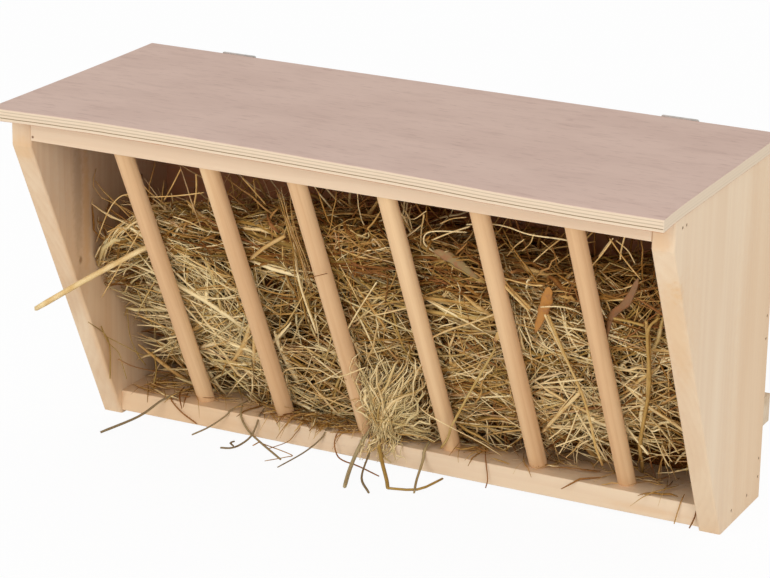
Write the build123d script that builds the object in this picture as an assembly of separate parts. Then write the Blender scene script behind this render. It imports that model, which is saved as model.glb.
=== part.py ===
from build123d import *
import math
import os

# A hay feeder box: two shaped end boards with a floor board, a top rail, slanted round bars and a
# plywood back between them, two battens behind, and a plywood lid hinged along its back edge.
# Millimetres. +X runs along the box, the bars face -Y, +Z is up.
# The origin is the middle of the bounding box's underside.

# ---- driving dimensions -------------------------------------------------------------------------
LID_LENGTH = 500.0
LID_DEPTH = 220.0
LID_THICK = 9.0
LID_END_OVERHANG = 1.5         # beyond each end board
LID_FRONT_OVERHANG = 25.0      # beyond the end boards' upper front edges

SIDE_THICK = 16.0
SIDE_HEIGHT = 260.0
SIDE_BOTTOM_DEPTH = 78.0
SIDE_FRONT_DROP = 21.5         # the upright stretch at the top of the front edge
SIDE_ARRIS = 1.5               # easing of the front edges

RAIL_HEIGHT = 16.5
RAIL_DEPTH = 30.0
FLOOR_THICK = 16.0
FLOOR_LIFT = 2.5               # the end boards stand this much lower than the floor board
BOARD_ARRIS = 0.8
BACK_THICK = 9.0

BAR_DIAMETER = 13.0
BAR_COUNT = 6
BAR_FIRST = 65.0               # from the left board's inner face to the first bar's axis
BAR_LAST = 60.0                # from the last bar's axis to the right board's inner face
BAR_SETBACK = 15.0             # from the rail's and the floor's front faces to the bars' axes
BAR_TENON = 9.0                # glued length at each end
BAR_FIT = 0.08                 # radial room for glue
BAR_END_ROOM = 0.3

BATTEN_HEIGHT = 21.0
BATTEN_THICK = 12.0
BATTEN_LOW = 54.0              # the lower batten's underside
BATTEN_TOP_DROP = 24.0         # from the end boards' tops down to the upper batten's top
BATTEN_ARRIS = 0.8

NAIL_RADIUS = 0.7
NAIL_HEAD_RADIUS = 1.1
NAIL_HEAD_THICK = 0.6
NAIL_SINK = 0.4                # how far the heads are set below the wood
NAIL_LENGTH = 35.0
NAIL_FIT = 0.05
RAIL_NAIL_SETBACKS = (13.0, 20.0)          # from the rail's front face
FLOOR_NAIL_SETBACKS = (21.0, 52.0)         # from the floor's front face
BACK_NAIL_HEIGHTS = (17.0, 31.0, 121.0, 138.0)
BACK_NAIL_DROPS = (18.0, 34.0)             # from the end boards' tops

HINGE_LENGTH = 28.0
HINGE_INSET = 75.0             # from the lid's ends to the hinges' middles
LEAF_THICK = 1.0
LEAF_WIDTH = 10.0              # from the pin's axis to the leaf's far edge
LEAF_CORNER = 1.5
KNUCKLE_RADIUS = 2.2
KNUCKLE_GAP = 0.3              # between knuckles, and between the knuckles and the wood
PIN_RADIUS = 1.0
PIN_FIT = 0.06
PIN_CAP = 0.5                  # the pin's peened ends stand out this far

LEAF_SCREW_SPACING = 16.0
LEAF_SCREW_DROP = 5.4          # from the pin's axis
LEAF_SCREW_RADIUS = 1.0
LEAF_SCREW_HEAD = 2.0
LEAF_SCREW_LENGTH = 7.5
BATTEN_SCREW_SPACING = 11.0
BATTEN_SCREW_RADIUS = 1.6
BATTEN_SCREW_HEAD = 3.2
BATTEN_SCREW_LENGTH = 34.0
SCREW_SINK = 0.2
SCREW_FIT = 0.05
RECESS_LENGTH = 1.1            # of the screws' crossed recesses, against the head's radius
RECESS_WIDTH = 0.28            # likewise
RECESS_DEPTH = 0.55            # against the head's depth

HAY_CLEAR = 0.4                # from the floor and the back panel
HAY_BAR_CLEAR = 3.0            # behind the bars
HAY_LEFT_ROOM = 22.0           # bare wood at the left board
HAY_RIGHT_ROOM = 6.0
HAY_HEIGHTS = (138.0, 155.0, 162.0, 167.0, 170.0, 173.0, 175.0, 176.0, 172.0, 160.0)
HAY_CROWN = 16.0               # how much higher the pile is in its middle than at its back and front
HAY_SWELL = (0.0, 2.0, 5.0, 1.0, 4.0, 6.0, 2.0, 5.0, 1.0, 0.0)  # hollows in the front between bars

NEAR = 0.01                    # how near an edge's middle lies to where it is looked for

# ---- what follows from them ---------------------------------------------------------------------
DEPTH_ALL = LID_DEPTH + BATTEN_THICK
BACK_Y = DEPTH_ALL / 2 - BATTEN_THICK                  # the end boards' back edges
LID_FRONT_Y = BACK_Y - LID_DEPTH
SIDE_TOP_FRONT_Y = LID_FRONT_Y + LID_FRONT_OVERHANG
SIDE_BOTTOM_FRONT_Y = BACK_Y - SIDE_BOTTOM_DEPTH
BOX_LENGTH = LID_LENGTH - 2 * LID_END_OVERHANG
INNER_LENGTH = BOX_LENGTH - 2 * SIDE_THICK
INNER_X = INNER_LENGTH / 2
OUTER_X = BOX_LENGTH / 2
FLOOR_TOP = FLOOR_LIFT + FLOOR_THICK
RAIL_BOTTOM = SIDE_HEIGHT - RAIL_HEIGHT
BACK_PANEL_FRONT_Y = BACK_Y - BACK_THICK
BAR_RADIUS = BAR_DIAMETER / 2
BAR_TOP = Vector(0, SIDE_TOP_FRONT_Y + BAR_SETBACK, RAIL_BOTTOM)
BAR_FOOT = Vector(0, SIDE_BOTTOM_FRONT_Y + BAR_SETBACK, FLOOR_TOP)
BAR_DIRECTION = (BAR_TOP - BAR_FOOT).normalized()
BAR_LEAN = math.degrees(math.atan2(BAR_FOOT.Y - BAR_TOP.Y, BAR_TOP.Z - BAR_FOOT.Z))
BAR_PITCH = (INNER_LENGTH - BAR_FIRST - BAR_LAST) / (BAR_COUNT - 1)
BAR_XS = [-INNER_X + BAR_FIRST + BAR_PITCH * i for i in range(BAR_COUNT)]
HINGE_XS = {"left": -LID_LENGTH / 2 + HINGE_INSET, "right": LID_LENGTH / 2 - HINGE_INSET}
PIN_Y = BACK_Y + KNUCKLE_GAP + KNUCKLE_RADIUS
PIN_Z = SIDE_HEIGHT
UPPER_BATTEN_LOW = SIDE_HEIGHT - BATTEN_TOP_DROP - BATTEN_HEIGHT


# ---- helpers --------------------------------------------------------------------------------------
def block(x0, x1, y0, y1, z0, z1):
    """A plain board between two corners."""
    return Pos((x0 + x1) / 2, (y0 + y1) / 2, (z0 + z1) / 2) * Box(x1 - x0, y1 - y0, z1 - z0)


def rod(start, direction, radius, length):
    """A round rod from a point, along a direction."""
    return Plane(origin=start, z_dir=direction) * extrude(Circle(radius), length)


def cone(start, direction, radius, far_radius, length):
    """A tapered rod from a point, along a direction."""
    middle = Pos(0, 0, length / 2)
    return Plane(origin=start, z_dir=direction) * (middle * Cone(radius, far_radius, length))


def edges_at(solid, y, z):
    """The edges whose middles lie at y and z, at any x."""
    return [e for e in solid.edges()
            if abs(e.center().Y - y) < NEAR and abs(e.center().Z - z) < NEAR]


def group(solids):
    """Separate solids in one node."""
    return Compound(children=list(solids))


# ---- nails and screws -----------------------------------------------------------------------------
def nail_spots(y, z):
    """Where a nail enters the two end boards' outer faces, and which way it goes."""
    return [(Vector(side * OUTER_X, y, z), Vector(-side, 0, 0)) for side in (-1, 1)]


RAIL_NAILS = [s for back in RAIL_NAIL_SETBACKS
              for s in nail_spots(SIDE_TOP_FRONT_Y + back, SIDE_HEIGHT - RAIL_HEIGHT / 2)]
FLOOR_NAILS = [s for back in FLOOR_NAIL_SETBACKS
               for s in nail_spots(SIDE_BOTTOM_FRONT_Y + back, FLOOR_LIFT + FLOOR_THICK / 2)]
BACK_NAIL_ZS = list(BACK_NAIL_HEIGHTS) + [SIDE_HEIGHT - drop for drop in BACK_NAIL_DROPS]
BACK_NAILS = [s for z in BACK_NAIL_ZS for s in nail_spots(BACK_Y - BACK_THICK / 2, z)]


def nail(spot):
    """A brad, its head set a little below the wood."""
    start, way = spot
    head_top = start + way * NAIL_SINK
    return (rod(head_top, way, NAIL_HEAD_RADIUS, NAIL_HEAD_THICK)
            + rod(head_top, way, NAIL_RADIUS, NAIL_LENGTH))


def nail_hole(spot):
    """The hole that a nail fills, with the dent over its head."""
    start, way = spot
    return (rod(start, way, NAIL_HEAD_RADIUS + NAIL_FIT, NAIL_SINK + NAIL_HEAD_THICK + NAIL_FIT)
            + rod(start, way, NAIL_RADIUS + NAIL_FIT, NAIL_SINK + NAIL_LENGTH + NAIL_FIT))


def screw(start, way, radius, head_radius, length):
    """A countersunk screw with a crossed recess; start is the face that it is set into."""
    top = start + way * SCREW_SINK
    head_depth = head_radius - radius
    body = cone(top, way, head_radius, radius, head_depth) + rod(top, way, radius, length)
    for turn in (0, 90):
        slot = Box(head_radius * RECESS_LENGTH, head_radius * RECESS_WIDTH,
                   2 * head_depth * RECESS_DEPTH)
        body -= Plane(origin=top, z_dir=way) * (Rot(0, 0, turn) * slot)
    return body


def screw_hole(start, way, radius, head_radius, length):
    """The countersink and hole that a screw fills."""
    top = start + way * SCREW_SINK
    head_depth = head_radius - radius
    return (rod(start, way, head_radius + SCREW_FIT, SCREW_SINK)
            + cone(top, way, head_radius + SCREW_FIT, radius + SCREW_FIT, head_depth)
            + rod(start, way, radius + SCREW_FIT, SCREW_SINK + length + SCREW_FIT))


def leaf_screws(x, up):
    """The two screws of a hinge leaf: up is 1 for the lid's leaf and -1 for the box's."""
    face = BACK_Y + LEAF_THICK
    return [(Vector(x + dx, face, PIN_Z + up * LEAF_SCREW_DROP), Vector(0, -1, 0),
             LEAF_SCREW_RADIUS, LEAF_SCREW_HEAD, LEAF_SCREW_LENGTH)
            for dx in (-LEAF_SCREW_SPACING / 2, LEAF_SCREW_SPACING / 2)]


def batten_screws(z_low):
    """Two screws in each end of a batten, into the end boards' back edges."""
    middle = z_low + BATTEN_HEIGHT / 2
    return [(Vector(side * (OUTER_X - SIDE_THICK / 2), BACK_Y + BATTEN_THICK, middle + dz),
             Vector(0, -1, 0), BATTEN_SCREW_RADIUS, BATTEN_SCREW_HEAD, BATTEN_SCREW_LENGTH)
            for side in (-1, 1)
            for dz in (-BATTEN_SCREW_SPACING / 2, BATTEN_SCREW_SPACING / 2)]


BOX_LEAF_SCREWS = [s for x in HINGE_XS.values() for s in leaf_screws(x, -1)]
LID_LEAF_SCREWS = [s for x in HINGE_XS.values() for s in leaf_screws(x, 1)]
BATTEN_SCREWS = batten_screws(BATTEN_LOW) + batten_screws(UPPER_BATTEN_LOW)


# ---- boards ---------------------------------------------------------------------------------------
def side_panel(side):
    """An end board: upright at the top of its front edge, then slanting back to a narrow foot."""
    outline = Polyline(
        (BACK_Y, 0),
        (BACK_Y, SIDE_HEIGHT),
        (SIDE_TOP_FRONT_Y, SIDE_HEIGHT),
        (SIDE_TOP_FRONT_Y, SIDE_HEIGHT - SIDE_FRONT_DROP),
        (SIDE_BOTTOM_FRONT_Y, 0),
        close=True,
    )
    inner = Plane(origin=(side * INNER_X, 0, 0), x_dir=(0, 1, 0), z_dir=(1, 0, 0))
    board = inner * extrude(make_face(outline), side * SIDE_THICK)
    slant_top = SIDE_HEIGHT - SIDE_FRONT_DROP
    front = (edges_at(board, SIDE_TOP_FRONT_Y, SIDE_HEIGHT - SIDE_FRONT_DROP / 2)
             + edges_at(board, (SIDE_TOP_FRONT_Y + SIDE_BOTTOM_FRONT_Y) / 2, slant_top / 2))
    board = fillet(front, SIDE_ARRIS)
    nails = [s for s in RAIL_NAILS + FLOOR_NAILS + BACK_NAILS if s[0].X * side > 0]
    screws = [p for p in BATTEN_SCREWS if p[0].X * side > 0]
    return board - [nail_hole(s) for s in nails] - [screw_hole(*p) for p in screws]


def bar_hole(x, foot):
    """The slanted blind hole for a bar's end."""
    end, way = (BAR_FOOT, -BAR_DIRECTION) if foot else (BAR_TOP, BAR_DIRECTION)
    start = Vector(x, end.Y, end.Z) - way * BAR_DIAMETER
    return rod(start, way, BAR_RADIUS + BAR_FIT, BAR_DIAMETER + BAR_TENON + BAR_END_ROOM)


def floor_board():
    board = block(-INNER_X, INNER_X, SIDE_BOTTOM_FRONT_Y, BACK_PANEL_FRONT_Y, FLOOR_LIFT, FLOOR_TOP)
    eased = (edges_at(board, SIDE_BOTTOM_FRONT_Y, FLOOR_TOP)
             + edges_at(board, SIDE_BOTTOM_FRONT_Y, FLOOR_LIFT))
    board = fillet(eased, BOARD_ARRIS)
    return board - [bar_hole(x, foot=True) for x in BAR_XS] - [nail_hole(s) for s in FLOOR_NAILS]


def top_front_rail():
    board = block(-INNER_X, INNER_X, SIDE_TOP_FRONT_Y, SIDE_TOP_FRONT_Y + RAIL_DEPTH,
                  RAIL_BOTTOM, SIDE_HEIGHT)
    board = fillet(edges_at(board, SIDE_TOP_FRONT_Y, RAIL_BOTTOM), BOARD_ARRIS)
    return board - [bar_hole(x, foot=False) for x in BAR_XS] - [nail_hole(s) for s in RAIL_NAILS]


def bar(x):
    """A round bar, glued at both ends."""
    start = Vector(x, BAR_FOOT.Y, BAR_FOOT.Z) - BAR_DIRECTION * BAR_TENON
    length = (BAR_TOP - BAR_FOOT).length + 2 * BAR_TENON
    return rod(start, BAR_DIRECTION, BAR_RADIUS, length)


def back_panel():
    board = block(-INNER_X, INNER_X, BACK_PANEL_FRONT_Y, BACK_Y, FLOOR_LIFT, SIDE_HEIGHT)
    return board - [nail_hole(s) for s in BACK_NAILS] - [screw_hole(*p) for p in BOX_LEAF_SCREWS]


def batten(z_low):
    back = BACK_Y + BATTEN_THICK
    board = block(-OUTER_X, OUTER_X, BACK_Y, back, z_low, z_low + BATTEN_HEIGHT)
    eased = edges_at(board, back, z_low) + edges_at(board, back, z_low + BATTEN_HEIGHT)
    board = fillet(eased, BATTEN_ARRIS)
    return board - [screw_hole(*p) for p in BATTEN_SCREWS]


def lid():
    board = block(-LID_LENGTH / 2, LID_LENGTH / 2, LID_FRONT_Y, BACK_Y,
                  SIDE_HEIGHT, SIDE_HEIGHT + LID_THICK)
    return board - [screw_hole(*p) for p in LID_LEAF_SCREWS]


# ---- hinges ---------------------------------------------------------------------------------------
def hinge_leaf(x, up):
    """One leaf: the lid's (up = 1) has the middle knuckle, the box's (up = -1) the outer two."""
    knuckle = (HINGE_LENGTH - 2 * KNUCKLE_GAP) / 3
    step = knuckle + KNUCKLE_GAP
    own = [0] if up > 0 else [-step, step]
    other = [-step, step] if up > 0 else [0]
    plate = Pos(x, BACK_Y + LEAF_THICK / 2, PIN_Z + up * LEAF_WIDTH / 2) * Box(
        HINGE_LENGTH, LEAF_THICK, LEAF_WIDTH)
    far = edges_at(plate, BACK_Y + LEAF_THICK / 2, PIN_Z + up * LEAF_WIDTH)
    plate = fillet(far, LEAF_CORNER)
    along = Vector(1, 0, 0)
    swept = KNUCKLE_RADIUS + KNUCKLE_GAP
    for dx in other:
        start = Vector(x + dx - knuckle / 2 - KNUCKLE_GAP, PIN_Y, PIN_Z)
        plate -= rod(start, along, swept, knuckle + 2 * KNUCKLE_GAP)
    for dx in own:
        start = Vector(x + dx - knuckle / 2, PIN_Y, PIN_Z)
        plate += rod(start, along, KNUCKLE_RADIUS, knuckle)
    start = Vector(x - HINGE_LENGTH, PIN_Y, PIN_Z)
    plate -= rod(start, along, PIN_RADIUS + PIN_FIT, 2 * HINGE_LENGTH)
    return plate - [screw_hole(*p) for p in leaf_screws(x, up)]


def hinge_pin(x):
    """The pin, peened at both ends."""
    start = Vector(x - HINGE_LENGTH / 2 - PIN_CAP, PIN_Y, PIN_Z)
    return rod(start, Vector(1, 0, 0), PIN_RADIUS, HINGE_LENGTH + 2 * PIN_CAP)


# ---- hay ------------------------------------------------------------------------------------------
def hay_section(x, height, swell):
    """The pile's outline across the box: it leans on the back and follows the bars in front."""
    foot_y = BAR_FOOT.Y + (BAR_RADIUS + HAY_BAR_CLEAR) / math.cos(math.radians(BAR_LEAN))
    lean = math.tan(math.radians(BAR_LEAN))
    low = FLOOR_TOP + HAY_CLEAR
    back = BACK_PANEL_FRONT_Y - HAY_CLEAR
    shoulder = height - HAY_CROWN

    def front(z):
        return foot_y - lean * (z - FLOOR_TOP)

    brow = low + shoulder + HAY_CROWN / 2
    chest = low + shoulder - HAY_CROWN
    waist = low + shoulder / 2
    middle = (back + front(chest)) / 2
    points = [
        (back, low),
        (back, low + shoulder),
        (middle, low + height),
        (front(brow) + HAY_CROWN, brow),
        (front(chest) + swell, chest),
        (front(waist), waist),
        (front(low) + swell, low),
    ]
    across = Plane(origin=(x, 0, 0), x_dir=(0, 1, 0), z_dir=(1, 0, 0))
    return across * make_face(Polyline(*points, close=True))


def hay_fill():
    """The hay as one lumpy pile."""
    first = -INNER_X + HAY_LEFT_ROOM
    last = INNER_X - HAY_RIGHT_ROOM
    steps = len(HAY_HEIGHTS) - 1
    sections = [hay_section(first + (last - first) * i / steps, HAY_HEIGHTS[i], HAY_SWELL[i])
                for i in range(steps + 1)]
    return loft(sections, ruled=True)


# ---- all nodes ------------------------------------------------------------------------------------
def all_nodes():
    nodes = {
        "side_panel_left": side_panel(-1),
        "side_panel_right": side_panel(1),
        "floor_board": floor_board(),
        "top_front_rail": top_front_rail(),
        "back_panel": back_panel(),
        "lower_batten": batten(BATTEN_LOW),
        "upper_batten": batten(UPPER_BATTEN_LOW),
        "lid": lid(),
        "rail_nails": group(nail(s) for s in RAIL_NAILS),
        "floor_nails": group(nail(s) for s in FLOOR_NAILS),
        "back_panel_nails": group(nail(s) for s in BACK_NAILS),
        "batten_screws": group(screw(*p) for p in BATTEN_SCREWS),
        "hinge_box_screws": group(screw(*p) for p in BOX_LEAF_SCREWS),
        "hinge_lid_screws": group(screw(*p) for p in LID_LEAF_SCREWS),
        "hay_fill": hay_fill(),
    }
    for i, x in enumerate(BAR_XS, start=1):
        nodes[f"bar_{i}"] = bar(x)
    for name, x in HINGE_XS.items():
        nodes[f"hinge_{name}_box_leaf"] = hinge_leaf(x, -1)
        nodes[f"hinge_{name}_lid_leaf"] = hinge_leaf(x, 1)
        nodes[f"hinge_{name}_pin"] = hinge_pin(x)
    return nodes


os.makedirs("parts", exist_ok=True)
for node_name, solid in all_nodes().items():
    export_step(solid, f"parts/{node_name}.step")
print(f"bars lean {BAR_LEAN:.1f} degrees, {(BAR_TOP - BAR_FOOT).length:.1f} mm showing")
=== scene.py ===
import math
import random
from collections import namedtuple

import bmesh
import bpy
import numpy as np
from bpy.props import FloatProperty, FloatVectorProperty, IntProperty, PointerProperty
from mathutils import Matrix, Vector, noise


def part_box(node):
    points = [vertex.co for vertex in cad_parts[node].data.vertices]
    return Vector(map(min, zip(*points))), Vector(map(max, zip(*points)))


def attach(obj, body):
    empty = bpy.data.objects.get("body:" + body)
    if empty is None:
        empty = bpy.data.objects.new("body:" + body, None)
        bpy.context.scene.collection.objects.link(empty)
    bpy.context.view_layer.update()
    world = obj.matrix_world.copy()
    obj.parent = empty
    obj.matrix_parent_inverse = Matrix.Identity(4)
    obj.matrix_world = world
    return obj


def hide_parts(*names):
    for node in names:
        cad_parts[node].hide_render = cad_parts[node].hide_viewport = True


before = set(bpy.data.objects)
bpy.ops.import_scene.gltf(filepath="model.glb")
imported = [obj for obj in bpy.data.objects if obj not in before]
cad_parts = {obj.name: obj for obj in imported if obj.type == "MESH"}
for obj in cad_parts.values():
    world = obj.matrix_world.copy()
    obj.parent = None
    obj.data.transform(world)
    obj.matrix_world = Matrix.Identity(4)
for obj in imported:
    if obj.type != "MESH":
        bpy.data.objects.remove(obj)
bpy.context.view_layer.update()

bl_info = {
    "name": "Hay feeder box",
    "version": (1, 0, 0),
    "blender": (4, 5, 0),
    "location": "3D View > Sidebar > Hay box",
    "description": "Dresses a wooden hay feeder box: its timber, plywood, fittings and hay",
    "category": "Object",
}

# Metres, in the part's own frame: +X runs along the box, the bars face -Y, +Z is up.
MM = 0.001

BAR_NAMES = ["bar_1", "bar_2", "bar_3", "bar_4", "bar_5", "bar_6"]
BAR_SETBACK = 0.015            # from the rail's and the floor's front faces to the bars' axes
FLOOR_LOW, FLOOR_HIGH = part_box("floor_board")
RAIL_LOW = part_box("top_front_rail")[0]
BACK_LOW, BACK_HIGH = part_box("back_panel")
LID_LOW, LID_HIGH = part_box("lid")
LEFT_FACE, RIGHT_FACE = FLOOR_LOW.x, FLOOR_HIGH.x          # inner faces of the side boards
OUTER_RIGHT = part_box("side_panel_right")[1].x
FLOOR_TOP = FLOOR_HIGH.z
BAR_XS = np.array([(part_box(name)[0].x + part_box(name)[1].x) / 2 for name in BAR_NAMES])
BAR_RADIUS = (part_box(BAR_NAMES[0])[1].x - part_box(BAR_NAMES[0])[0].x) / 2
BAR_FOOT_Y = FLOOR_LOW.y + BAR_SETBACK
BAR_SLOPE = (BAR_FOOT_Y - RAIL_LOW.y - BAR_SETBACK) / (RAIL_LOW.z - FLOOR_TOP)
BAR_LEAN = math.atan(BAR_SLOPE)
BAR_BACK = BAR_RADIUS / math.cos(BAR_LEAN)                 # from a bar's axis level to its back

# How far the hay's centre lines may run. A broad strand's edge can still go a little past these,
# into the wood.
HAY_LEFT, HAY_RIGHT = LEFT_FACE + 0.0015, RIGHT_FACE - 0.0012
HAY_BACK = BACK_LOW.y - 0.0015
HAY_FLOOR = FLOOR_TOP + 0.0010
HAY_LIP = FLOOR_LOW.y - 0.0012                             # in front of the floor board's front face


def chart(red, green, blue):
    """A colour as a paint chart gives it, 0 to 255, turned into the light's own units."""
    shares = [value / 255 for value in (red, green, blue)]
    return tuple(s / 12.92 if s <= 0.04045 else ((s + 0.055) / 1.055) ** 2.4 for s in shares)


def colour(name, description, default):
    return FloatVectorProperty(name=name, description=description, default=default,
                               subtype="COLOR", size=3, min=0, max=1)


def length(name, description, default):
    return FloatProperty(name=name, description=description, default=default,
                         subtype="DISTANCE", unit="LENGTH", min=0)


# ---- sizes and colours ----------------------------------------------------------------------------
class TimberSettings(bpy.types.PropertyGroup):
    board_pale: colour("Board, pale", "Early wood of the softwood boards", chart(236, 213, 183))
    board_dark: colour("Board, dark", "Late wood of the softwood boards", chart(214, 178, 142))
    bar_pale: colour("Bar, pale", "Early wood of the round bars", chart(238, 202, 156))
    bar_dark: colour("Bar, dark", "Late wood of the round bars", chart(208, 161, 115))
    batten_pale: colour("Batten, pale", "Early wood of the battens", chart(224, 204, 176))
    batten_dark: colour("Batten, dark", "Late wood of the battens", chart(190, 160, 124))
    # Yellower, and painted shade: the faces of the end boards that look forwards are painted darker.
    front_edge_and_shade: colour("Front edge", "Yellower front edges of the end boards",
                       chart(200, 162, 112))
    knot: colour("Knot", "Heart of a knot", chart(112, 72, 44))
    # Besides resin streaks, this colour is laid as painted warm shade inside the box.
    resin_and_warm_shade: colour("Resin", "Resin streaks near a front edge", chart(222, 172, 112))
    ring_spacing: length("Ring spacing", "Distance between two growth rings", 0.0046)
    veneer: colour("Veneer", "Face veneer of the plywood", chart(211, 182, 167))
    veneer_dark: colour("Veneer, dark", "Streaks in the face veneer", chart(176, 143, 130))
    # Painted shade: the plywood faces that look into the box get a darker, warmer copy of the
    # veneer.
    shaded_inner_veneer: colour("Inner veneer", "Plywood faces that look into the box",
                         chart(188, 126, 84))
    ply_pale: colour("Ply edge", "Cut edge of the plywood", chart(226, 206, 180))
    ply_line: colour("Glue line", "Thin dark lines in the cut edge", chart(140, 120, 92))


class MetalSettings(bpy.types.PropertyGroup):
    zinc: colour("Zinc", "Plating of the hinges and screws", chart(214, 215, 212))
    zinc_dull: colour("Zinc, dull", "Dull patches of the plating", chart(182, 184, 181))
    nail: colour("Nail", "Heads of the brads", chart(104, 86, 66))


class HaySettings(bpy.types.PropertyGroup):
    packed: IntProperty(name="Packed strands", description="Strands in the packed hay",
                        default=7600, min=500, max=40000)
    loose: IntProperty(name="Loose strands", description="Bright loose strands over the packed hay",
                       default=2600, min=100, max=20000)
    wisps: IntProperty(name="Wisps", description="Strands that stand up from the top of the pile",
                       default=800, min=0, max=5000)
    strand_length: length("Strand length", "Middle length of a strand", 0.056)
    strand_width: length("Strand width", "Middle width of a strand", 0.0013)
    depth: length("Depth", "How deep the modelled strands go into the pile", 0.022)
    seed: IntProperty(name="Seed", description="Another number lays the hay another way", default=7)
    dark: colour("Dark", "Darkest strands", chart(114, 65, 16))
    olive: colour("Olive", "Olive strands", chart(164, 116, 50))
    straw: colour("Straw", "Straw-coloured strands", chart(216, 174, 106))
    pale: colour("Pale", "Palest strands", chart(251, 228, 176))
    green: colour("Green", "Greenish strands", chart(160, 136, 66))
    weathered: colour("Weathered", "Grey stems that hang out in the light", chart(132, 128, 104))
    russet: colour("Russet", "Reddish brown strands", chart(156, 100, 56))
    leaf: colour("Leaf", "The yellow-orange dead leaf", chart(188, 126, 50))
    husk: colour("Husk", "The brown dead leaf", chart(140, 98, 58))
    sage: colour("Sage", "The green dead leaf", chart(150, 124, 74))
    heart: colour("Heart", "The pile's shaded inside", chart(100, 55, 20))


class StageSettings(bpy.types.PropertyGroup):
    camera_place: FloatVectorProperty(name="Camera", description="Where the camera stands",
                                      default=(0.8873, -1.8044, 0.8339), subtype="TRANSLATION")
    camera_turn: FloatProperty(name="Turn", description="Camera's turn about the upright",
                               default=math.radians(26.18), subtype="ANGLE", unit="ROTATION")
    camera_dip: FloatProperty(name="Dip", description="How far the camera looks down",
                              default=math.radians(18.89), subtype="ANGLE", unit="ROTATION")
    camera_roll: FloatProperty(name="Roll", description="Camera's tilt about its own line",
                               default=math.radians(0.98), subtype="ANGLE", unit="ROTATION")
    lens: FloatProperty(name="Lens", description="Focal length in millimetres", default=141.48,
                        min=10, unit="CAMERA")
    floor: colour("Floor", "Floor and backdrop", chart(250, 250, 250))
    daylight: FloatProperty(name="Daylight", description="Even light from all round", default=0.75,
                            min=0)
    key: FloatProperty(name="Key", description="Soft main light, in watts", default=18, min=0,
                       unit="POWER")
    fill: FloatProperty(name="Fill", description="Soft light from the right, in watts", default=13,
                        min=0, unit="POWER")


# ---- node helpers ---------------------------------------------------------------------------------
def set_sockets(tree, made, sockets):
    """Gives each named input a value, or links another node's output to it."""
    for key, value in (sockets or {}).items():
        if isinstance(value, bpy.types.NodeSocket):
            tree.links.new(value, made.inputs[key])
        else:
            made.inputs[key].default_value = value
    return made


def put(tree, kind, sockets=None, **settings):
    """Adds a node with its settings and inputs."""
    made = tree.nodes.new(kind)
    for name, value in settings.items():
        setattr(made, name, value)
    return set_sockets(tree, made, sockets)


def rgba(value):
    return (*value[:3], 1.0)


def mix(tree, share, first, second, blend="MIX"):
    """Mixes two colours, each a colour or an output."""
    first, second = (v if isinstance(v, bpy.types.NodeSocket) else rgba(v) for v in (first, second))
    made = put(tree, "ShaderNodeMix", data_type="RGBA", blend_type=blend, clamp_factor=True)
    set_sockets(tree, made, {0: share, 6: first, 7: second})
    return made.outputs[2]


def reckon(tree, operation, first, second=0.0, third=0.0):
    """A Math node's result."""
    return put(tree, "ShaderNodeMath", {0: first, 1: second, 2: third},
               operation=operation).outputs[0]


def vector_sum(tree, operation, first, second=(0, 0, 0), third=(0, 0, 0)):
    """A Vector Math node's result."""
    return put(tree, "ShaderNodeVectorMath", {0: first, 1: second, 2: third},
               operation=operation).outputs[0]


def ramp(tree, value, low, high, start=0.0, end=1.0):
    """A smooth change from start at low to end at high."""
    made = put(tree, "ShaderNodeMapRange", interpolation_type="SMOOTHSTEP")
    return set_sockets(tree, made, {"Value": value, "From Min": low, "From Max": high,
                                    "To Min": start, "To Max": end}).outputs[0]


def speckle(tree, vector, scale, detail=2.0, rough=0.5):
    """Noise as a value."""
    return put(tree, "ShaderNodeTexNoise", {"Vector": vector, "Scale": scale, "Detail": detail,
                                            "Roughness": rough}).outputs["Fac"]


def stretched(tree, vector, scale, place=(0, 0, 0), turn=(0, 0, 0)):
    return put(tree, "ShaderNodeMapping", {"Vector": vector, "Location": place, "Rotation": turn,
                                           "Scale": scale}).outputs[0]


def shades(tree, value, stops, between="LINEAR"):
    """A colour band chart: stops are places from 0 to 1 and their colours, and between is how one
    runs into the next."""
    made = put(tree, "ShaderNodeValToRGB", {"Fac": value})
    made.color_ramp.interpolation = between
    while len(made.color_ramp.elements) < len(stops):
        made.color_ramp.elements.new(0.5)
    for element, (place, shade) in zip(made.color_ramp.elements, stops):
        element.position = place
        element.color = rgba(shade)
    return made.outputs["Color"]


def new_group(name, inputs, outputs):
    """An empty node group: inputs and outputs are lists of name, socket kind and default."""
    group = bpy.data.node_groups.new(name, "ShaderNodeTree")
    for socket, kind, value in inputs:
        made = group.interface.new_socket(socket, in_out="INPUT", socket_type=kind)
        if value is not None:
            made.default_value = value
    for socket, kind in outputs:
        group.interface.new_socket(socket, in_out="OUTPUT", socket_type=kind)
    return group, group.nodes.new("NodeGroupInput").outputs, group.nodes.new("NodeGroupOutput")


def place_group(tree, build, sockets):
    """Places a shared node group in a material with its own values; it is built once."""
    name = build.__name__
    made = tree.nodes.new("ShaderNodeGroup")
    made.node_tree = bpy.data.node_groups.get(name) or build(name)
    return set_sockets(tree, made, sockets).outputs


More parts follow.
